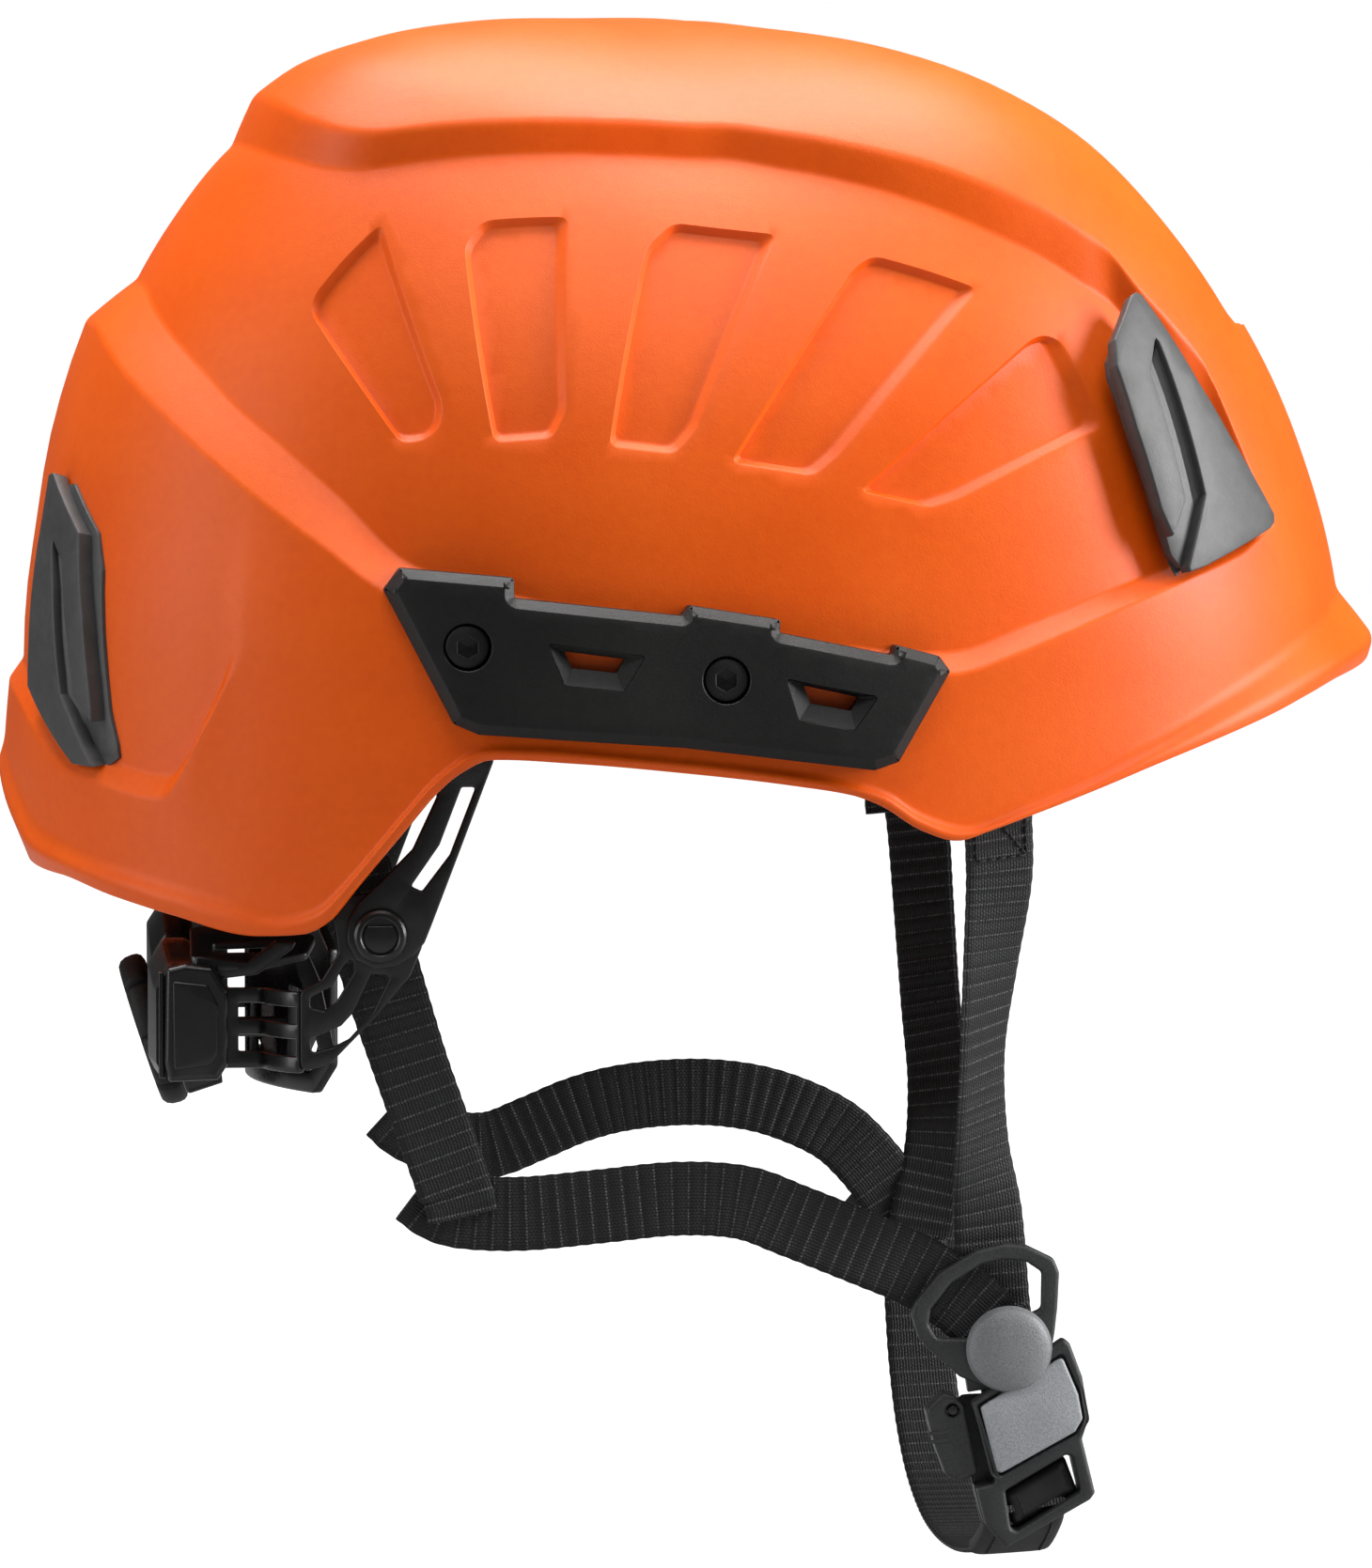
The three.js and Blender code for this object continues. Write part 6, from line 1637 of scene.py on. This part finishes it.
def anchor(name, centre, turn):
    "a slotted plate at the top of a strap, turned about the vertical"
    cos, sin = math.cos(turn), math.sin(turn)

    def place(u, v, w):
        return np.stack([centre[0] + cos * u + sin * w, centre[1] + sin * u - cos * w,
                         centre[2] + v], -1)
    plate = slab(loop(rect(-10.5, 10.5, -6.5, 6.5), 1.5, 4), -1.2, 1.2, place,
                 holes=[loop(rect(-8, 8, -2, 1.2), 0.5, 2)], bevel=(0.35, 0.45))
    add_pair(name + "_anchor", plate, NYLON, "shell", name + "_strap_anchor",
             sharp=34)


anchor("front", centre=(54.6, -94.6, -107.4), turn=0.36)
anchor("rear", centre=(-82.2, -85.2, -105), turn=-0.43)

# ------------------------------------------------------------------ dividers: x, z
DIVIDER = [
    [58.45, -210.23], [62.87, -210.65], [68.45, -213.39], [69.61, -216.28], [69.25, -223.57],
    [68.69, -228.55], [67.55, -234.88], [62.76, -239.6], [56.22, -240.3], [49.3, -237.37],
    [42.57, -231.36], [40.84, -229.23], [39.3, -224.42], [40.25, -221.94], [45.23, -216.05],
    [52.51, -211.71]]
DIVIDER_WINDOW = [
    [57.6, -213.6], [62.6, -213.9], [66, -216.2], [65.9, -223.6], [52, -229.6], [44.6, -229.4],
    [43, -226.6], [43.4, -223.6], [47.5, -218.4], [53.5, -214.6]]
divider = slab(loop(DIVIDER, 2.0, 4, 4), -1.1, 1.1, side_plane(-80.5),
               holes=[loop(DIVIDER_WINDOW, 1.3, 4, 3)], bevel=(0.45, 0.9), steps=4)
add_pair("divider_ring", divider, CASE_GREY, "shell", "strap_divider", sharp=36)
# radius, distance outwards
CAP = [(0, 0), (8.3, 0.0), (8.75, 0.25), (8.8, 0.7), (8.55, 1.25)]
CAP += [(8.4 * math.cos(a), 1.5 + 2.5 * math.sin(a))
        for a in np.linspace(0.06, math.pi / 2 - 0.05, 14)] + [(0, 4.0)]
add_pair("divider_dome", lathe(CAP, 72, (59.2, -81.9, -231.6), (0, -1, 0)), CAP_GREY, "shell",
         "divider_cap", sharp=34)

# ------------------------------------------------------------------ buckle: x, z
BUCKLE_Y = -77.6
buckle_plane = side_plane(BUCKLE_Y)


def along_buckle(down, front):
    "x, z of a place measured from the top of the buckle, along and across it"
    dx, dz = 0.155, -0.988
    return [60.6 + down * dx + front * -dz, -242 + down * dz + front * dx]


BUCKLE_BACK = [
    [52.0, -241.75], [71.01, -241.2], [76.27, -247], [74.74, -250.39], [77.09, -261.99],
    [76.32, -263.14], [58.98, -272.77], [54.34, -267.89], [51.6, -256.09], [48.6, -243.4],
    [50.43, -241.9]]
BUCKLE_MIDDLE = [
    along_buckle(0.6, 8.2), [71.0, -241.2], [75.8, -246.4], [74.4, -250.3], [76.8, -261.6],
    [75.9, -262.9], [58.9, -272.4], [54.5, -267.7], [52.4, -259.8], [56.7, -258.9],
    along_buckle(12, -7.2), along_buckle(12, 8.2)]
BUCKLE_RIM = [
    [51.5, -242.6], [70.3, -229.6], [71.6, -230.6], [74.2, -237.5], [75.6, -245.8],
    [74.2, -250.2], [76.9, -261.2], [75.9, -262.6], [58.6, -272.3], [54.6, -267.6],
    [52.6, -259.8], [56.7, -258.9]]
BUCKLE_SLOT = [[58.5, -260.6], [70.9, -253.4], [72.3, -253.8], [74.0, -260.9], [60.9, -268.9],
               [59.7, -268.2]]
BUCKLE_DECK = [[52.6, -243.6], [70.4, -232.2], [74.4, -241], [75.2, -246.0], [73.4, -249.6],
               [57.6, -258.2]]
# the opening in the rim for the matt plate
PLATE_HOLE = inset(ccw([
    [52.9, -243.2], [70.2, -232.8], [73.6, -240.8], [74.6, -246.0], [72.9, -248.9],
    [57.6, -257.3], [56.4, -256.7]]), -0.1)
LEVER = [[45.9, -240.6], [48.4, -241.2], [50.3, -243.6], [53.2, -257.2], [49.6, -258.9],
         [46.6, -257.6], [44.2, -251.19], [42.4, -244.2]]
slot = loop(BUCKLE_SLOT, 0.9, 3, 3)
buckle = merge(
    slab(loop(BUCKLE_BACK, 1.0, 4, 4), -4.2, -1.7, buckle_plane, holes=[slot],
         bevel=(1.1, 0.1), steps=4),
    slab(loop(BUCKLE_MIDDLE, 0.5, 2, 4), -2.0, 2.0, buckle_plane, holes=[slot],
         bevel=(0.05, 0.05), steps=2),
    slab(loop(BUCKLE_RIM, 0.9, 4, 4), 1.7, 5.2, buckle_plane,
         holes=[slot, loop(PLATE_HOLE, 0.9, 3, 3)], bevel=(0.1, 0.9), steps=4),
    slab(loop(BUCKLE_DECK, 0.5, 2, 4), 1.5, 3.4, buckle_plane, bevel=(0.05, 0.05), steps=2))
add("buckle_case", buckle, CASE_GREY, "buckle", "buckle_body", sharp=34)
plate = slab(loop(inset(PLATE_HOLE, 0.45), 0.9, 4, 4), 3.0, 5.6, buckle_plane,
             bevel=(0.05, 0.6), steps=4)
add("buckle_face", plate, PLATE_GREY, "buckle", "buckle_plate", sharp=34)
lever = [slab(loop(LEVER, 1.1, 4, 3), -2.3, 3.6, buckle_plane,
              holes=[circle(47.9, -244.2, 1.15, 16)], bevel=(0.7, 0.9), steps=4)]
for z in (-248.6, -248.6 - 1.7):   # two raised bars
    bar = [[42.9, z], [47.2, z + 0.6], [47.2, z - 0.2], [42.9, z - 0.8]]
    lever.append(slab(loop(bar, 0.2, 2), 3.4, 3.85, buckle_plane, bevel=(0.05, 0.2), steps=2))
add("release_paddle", merge(*lever), CASE_GREY, "lever", "release_lever",
    sharp=34)
from_cad("lever_pin", "lever_pivot", DARK_STEEL, "buckle", bevel=0.15, steps=2)
from_cad("buckle_tongue", "tongue_plate", CASE_GREY, "shell", bevel=0.35)
webbing("tongue_web", TONGUE, "shell", "tongue_strap", width=14.4)
chin_web = webbing("chin_web", CHIN, node="chin_strap", width=14.9)


# ------------------------------------------------------------------ chin strap's sleeve
def sleeve():
    "a hollow flat tube round the chin strap, with its UV map"
    centre, across, normal, distance = strap_frame(CHIN, square=False)
    sides = 40
    half_width, half_height = 8.45, 2.1
    outer = []
    for k in range(sides):
        cos, sin = math.cos(2 * math.pi * k / sides), math.sin(2 * math.pi * k / sides)
        outer.append((half_width * abs(cos) ** 0.35 * (1 if cos > 0 else -1),
                      half_height * abs(sin) ** 0.55 * (1 if sin > 0 else -1)))
    inner = [(u * 0.93, h * 0.60) for u, h in outer]
    places = np.arange(13.0, 36.0, 0.8)
    rows = [(outer, t) for t in places] + [(inner, t) for t in places[::-1]]
    verts, uvs = [], []
    for section, t in rows:
        c, w, n = (sample(table, distance, t) for table in (centre, across, normal))
        verts += [c + w * u + n * h for u, h in section]
        uvs += [(u, t) for u, _ in section]
    starts = [*range(0, len(rows) * sides, sides), 0]
    return (np.array(verts), walls(starts, sides)), uvs


sleeve_part, sleeve_uv = sleeve()
fix_normals(add("sleeve_tube", sleeve_part, SLEEVE_BLACK, "buckle", "strap_sleeve",
                sharp=50, uv=sleeve_uv))
# the sleeve's fold, seen in the buckle's slot
FOLD_OUTLINE = [[58.4, -261.4], [70.9, -253.9], [73.6, -261.0], [60.6, -268.4]]
FOLD_FACE = 3.2
fold = slab(loop(FOLD_OUTLINE, 0.8, 3, 2.5), -3.4, FOLD_FACE, buckle_plane, bevel=(1.6, 1.9),
            steps=6, grid=3)
add("sleeve_fold", fold, SLEEVE_BLACK, "buckle", sharp=60)
arch = np.sin(np.linspace(0, math.pi, 5))
fold_threads = []
# two rows of three stitches, from (x, z) to (x, z)
for (x0, z0), (x1, z1) in (((61.2, -261.9), (62.7, -266.0)), ((70.3, -256.7), (71.9, -260.4))):
    for k in range(3):
        share = np.linspace((k + 0.1) / 3, (k + 0.85) / 3, 5)
        line = np.stack([x0 + (x1 - x0) * share,
                         np.full(5, BUCKLE_Y - FOLD_FACE - 0.02) - 0.1 * arch,
                         z0 + (z1 - z0) * share], -1)
        fold_threads.append(thread(line, 0.17))
add("fold_stitching", merge(*fold_threads), THREAD, "buckle", sharp=None)
sleeve_threads = []
for u in (-5.6, 5.6):
    for k in range(1, 10):
        across_mm, along_mm = np.full(5, u), np.linspace(14.0 + k * 2.0, 15.5 + k * 2.0, 5)
        seat = on_web(CHIN, across_mm, along_mm, 1.45)
        normal = on_web(CHIN, across_mm, along_mm, 2.45) - seat
        sleeve_threads.append(thread(seat + normal * (0.12 * arch)[:, None], 0.2))
add("sleeve_stitching", merge(*sleeve_threads), THREAD, "buckle", sharp=None)


# ------------------------------------------------------------------ soft pads
def inflate(ob, voxel):
    """"inflates a closed soft solid as cloth under pressure" """
    frames = 16
    most = 0.0018   # furthest a point may move, in metres
    bpy.context.view_layer.objects.active = ob
    remesh = ob.modifiers.new("r", "REMESH")
    remesh.mode = "VOXEL"
    remesh.voxel_size = voxel
    bpy.context.view_layer.update()
    bake(ob)
    rest = np.array([v.co[:] for v in ob.data.vertices])
    cloth = ob.modifiers.new("c", "CLOTH")
    settings = cloth.settings
    settings.use_pressure = True
    settings.uniform_pressure_force = 3.0
    settings.mass = 0.2
    settings.tension_stiffness = 18
    settings.compression_stiffness = 18
    settings.bending_stiffness = 0.6
    settings.quality = 6
    settings.effector_weights.gravity = 0
    cloth.collision_settings.use_collision = False
    cloth.point_cache.frame_start = 1
    cloth.point_cache.frame_end = frames
    scene = bpy.context.scene
    for frame in range(1, frames + 1):
        scene.frame_set(frame)
    moved = ob.evaluated_get(bpy.context.evaluated_depsgraph_get())
    shift = np.array([v.co[:] for v in moved.data.vertices]) - rest
    ob.modifiers.clear()
    scene.frame_set(1)
    length = np.linalg.norm(shift, axis=1, keepdims=True)
    places = rest + shift * np.minimum(1, most / np.maximum(length, 1e-9))
    ob.data.vertices.foreach_set("co", places.ravel())
    ob.data.update()
    ob.modifiers.new("s", "SUBSURF").levels = 1
    bpy.context.view_layer.update()
    bake(ob)


def add_pad(name, part, node, body, voxel, seams):
    "an inflated pad; seams(places in mm) gives how deep its surface is drawn in"
    ob = add(name, part, FABRIC, None, node, sharp=None)
    fix_normals(ob)
    inflate(ob, voxel)
    places = np.array([v.co[:] for v in ob.data.vertices]) * 1000
    normals = np.array([v.normal[:] for v in ob.data.vertices])
    places = places - normals * seams(places)[:, None]
    ob.data.vertices.foreach_set("co", (places * 0.001).ravel())
    ob.data.update()
    ob.data.shade_smooth()
    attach(ob, body)


def groove(distance, width):
    return np.exp(-(distance / width) ** 2)


def crown_seams(places):
    "two rings with three lines across between them"
    x, y = places[:, 0], places[:, 1]
    r = np.hypot(x, y)
    depth = 0.9 * groove(r - 24.5, 0.9)
    for k in range(3):
        offset = x * math.sin(k * math.pi / 3) - y * math.cos(k * math.pi / 3)
        depth = np.maximum(depth, 0.8 * groove(offset, 0.9) * (r < 24.5) * (r > 6))
    return np.maximum(depth, 0.8 * groove(r - 6.0, 0.9))


def brow_seams(places):
    "five upright lines and one along each edge"
    bearing = np.degrees(np.arctan2(places[:, 1], places[:, 0]))
    r = np.linalg.norm(places - [0, 0, DOME_Z], axis=1)
    elevation = np.degrees(np.arcsin((places[:, 2] - DOME_Z) / r))
    depth = np.zeros(len(places))
    for centre in (-34, -17, 0, 17, 34):
        depth = np.maximum(depth, 0.9 * groove((bearing - centre) * 2.0, 1.0))
    edges = np.maximum(groove(elevation + 4.4, 0.35), groove(elevation + 0.8, 0.35))
    return np.maximum(depth, edges * 0.7)


def nape_seams(places):
    "four upright lines and one along each edge"
    arc = np.arctan2(-places[:, 1], -(places[:, 0] - NAPE_X)) * 90
    z = places[:, 2]
    depth = np.zeros(len(places))
    for centre in (-24, -8, 8, 24):
        depth = np.maximum(depth, 0.9 * groove(arc - centre, 1.0) * ((z > -176) & (z < -151)))
    return np.maximum(depth, 0.7 * np.maximum(groove(z + 176.2, 0.9), groove(z + 151.4, 0.9)))


# radius, height
CROWN_PAD = [(0, 0.3), (25, 0.3), (28.4, 1.2), (29.6, 3.0), (29.0, 4.6), (26, 5.6), (20, 7.6),
             (13, 9.0), (6, 9.9), (0, 10.0)]
add_pad("crown_cushion", lathe(CROWN_PAD, 72, (0, 0, 0), (0, 0, 1)), "crown_pad", "shell",
        0.0016, crown_seams)
add_pad("brow_cushion", strip((-51, 51, -5.3, 0.1), -22.6, -18.1, bevel=1.2, corner=2.6),
        "brow_pad", "shell", 0.0018, brow_seams)
half = math.radians(22) * NAPE_ARC
nape_pad = slab(loop(rect(-half, half, -179.6, -148), 4, 5, 3), -4.9, -0.7, nape,
                bevel=(1.6, 1.2), grid=4)
add_pad("nape_cushion", nape_pad, "nape_pad", "cradle", 0.0018, nape_seams)
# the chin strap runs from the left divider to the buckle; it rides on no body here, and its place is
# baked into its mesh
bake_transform(chin_web)

# ------------------------------------------------------------------ studio, in metres
FLOOR_Z = -0.314
FLOOR_SHIFT = 2.0     # how far the floor's middle lies towards +Y
FLOOR_GLOW = 0.52     # what the camera sees of the floor's glow near the helmet; 1 far off
WORLD_LIGHT = 0.10    # the world's light on things; the camera itself sees it at 1
LIGHTS = {
    "key": dict(place=(0.0, -0.9, 1.35), aim=(0, 0, -0.08), size=(1.0, 0.5), watts=8),
    "top": dict(place=(0.0, 0.3, 1.45), aim=(0, 0, -0.06), size=(1.6, 0.9), watts=48),
    "rear_strip": dict(place=(-1.55, -0.32, 0.3), aim=(-0.05, 0, -0.1), size=(0.4, 1.2),
                       watts=8),
    "front_strip": dict(place=(1.6, -0.35, 0.5), aim=(0.05, 0, -0.1), size=(0.5, 1.2),
                        watts=41)}
CAMERA_PLACE = (-0.11753, -1.49333, -0.04250)
CAMERA_AIM = (0, 0, -0.121)
VIEW_ANGLE = 11.118   # horizontal, degrees
SENSOR = 36


def aim(ob, place, target):
    ob.location = place
    ob.rotation_euler = (Vector(target) - ob.location).to_track_quat("-Z", "Y").to_euler()


def floor_material():
    g = Material("studio_floor")
    tree = g.tree
    color = g.mix(g.noise(scale=3, detail=2), (0.33, 0.33, 0.33, 1), (0.36, 0.36, 0.36, 1))
    normal = g.bump(g.noise(scale=400, detail=2), strength=0.03, distance=0.0002)
    g.finish(color, 0.7, normal, metal=0, spec=0.2)
    path = tree.nodes.new("ShaderNodeLightPath")
    g.shader.inputs["Emission Color"].default_value = (1, 1, 1, 1)
    from_helmet = g.node("VectorMath", {0: g.place, 1: (0.0, FLOOR_SHIFT, 0.0)},
                         operation="ADD")
    distance = g.node("VectorMath", {0: from_helmet}, 1, operation="LENGTH")
    glow = g.remap(distance, span=(0.45, 1.2), to=(FLOOR_GLOW, 1.0))
    g.put(g.shader.inputs["Emission Strength"], g.times(path.outputs["Is Camera Ray"], glow))
    # from underneath the floor is clear, so the helmet can be looked at from below
    geometry = tree.nodes.new("ShaderNodeNewGeometry")
    clear = tree.nodes.new("ShaderNodeBsdfTransparent")
    mix = tree.nodes.new("ShaderNodeMixShader")
    tree.links.new(geometry.outputs["Backfacing"], mix.inputs[0])
    tree.links.new(g.shader.outputs[0], mix.inputs[1])
    tree.links.new(clear.outputs[0], mix.inputs[2])
    output = next(node for node in tree.nodes if node.type == "OUTPUT_MATERIAL")
    tree.links.new(mix.outputs[0], output.inputs["Surface"])
    return g.material


def floor():
    material = floor_material()
    bpy.ops.mesh.primitive_plane_add(size=14, location=(0, FLOOR_SHIFT, FLOOR_Z))
    ob = bpy.context.object
    ob.name = "floor"
    ob.data.materials.append(material)
    return ob


def world():
    studio = bpy.data.worlds.new("studio")
    bpy.context.scene.world = studio
    studio.use_nodes = True
    tree = studio.node_tree
    background = tree.nodes["Background"]
    background.inputs[0].default_value = (1, 1, 1, 1)
    path = tree.nodes.new("ShaderNodeLightPath")
    strength = tree.nodes.new("ShaderNodeMath")
    strength.operation = "MULTIPLY_ADD"
    tree.links.new(path.outputs["Is Camera Ray"], strength.inputs[0])
    strength.inputs[1].default_value = 1.0 - WORLD_LIGHT
    strength.inputs[2].default_value = WORLD_LIGHT
    tree.links.new(strength.outputs[0], background.inputs[1])


def light(name, setup):
    data = bpy.data.lights.new(name, "AREA")
    data.shape = "RECTANGLE"
    data.size, data.size_y = setup["size"]
    data.energy = setup["watts"]
    ob = bpy.data.objects.new(name, data)
    COLLECTION.objects.link(ob)
    ob.location = setup["place"]
    direction = Vector(setup["aim"]) - Vector(setup["place"])
    ob.rotation_euler = direction.to_track_quat("-Z", "Y").to_euler()
    return ob


def camera():
    data = bpy.data.cameras.new("camera")
    data.sensor_fit = "HORIZONTAL"
    data.sensor_width = SENSOR
    data.lens = SENSOR / 2 / math.tan(math.radians(VIEW_ANGLE / 2))
    data.clip_start = 0.05
    data.clip_end = 20
    ob = bpy.data.objects.new("camera", data)
    COLLECTION.objects.link(ob)
    aim(ob, CAMERA_PLACE, CAMERA_AIM)
    bpy.context.scene.camera = ob


staged = [floor()]
world()
staged += [light(name, setup) for name, setup in LIGHTS.items()]
camera()
bpy.context.scene.view_settings.view_transform = "Standard"
bpy.context.scene.view_settings.look = "None"
bpy.context.view_layer.update()
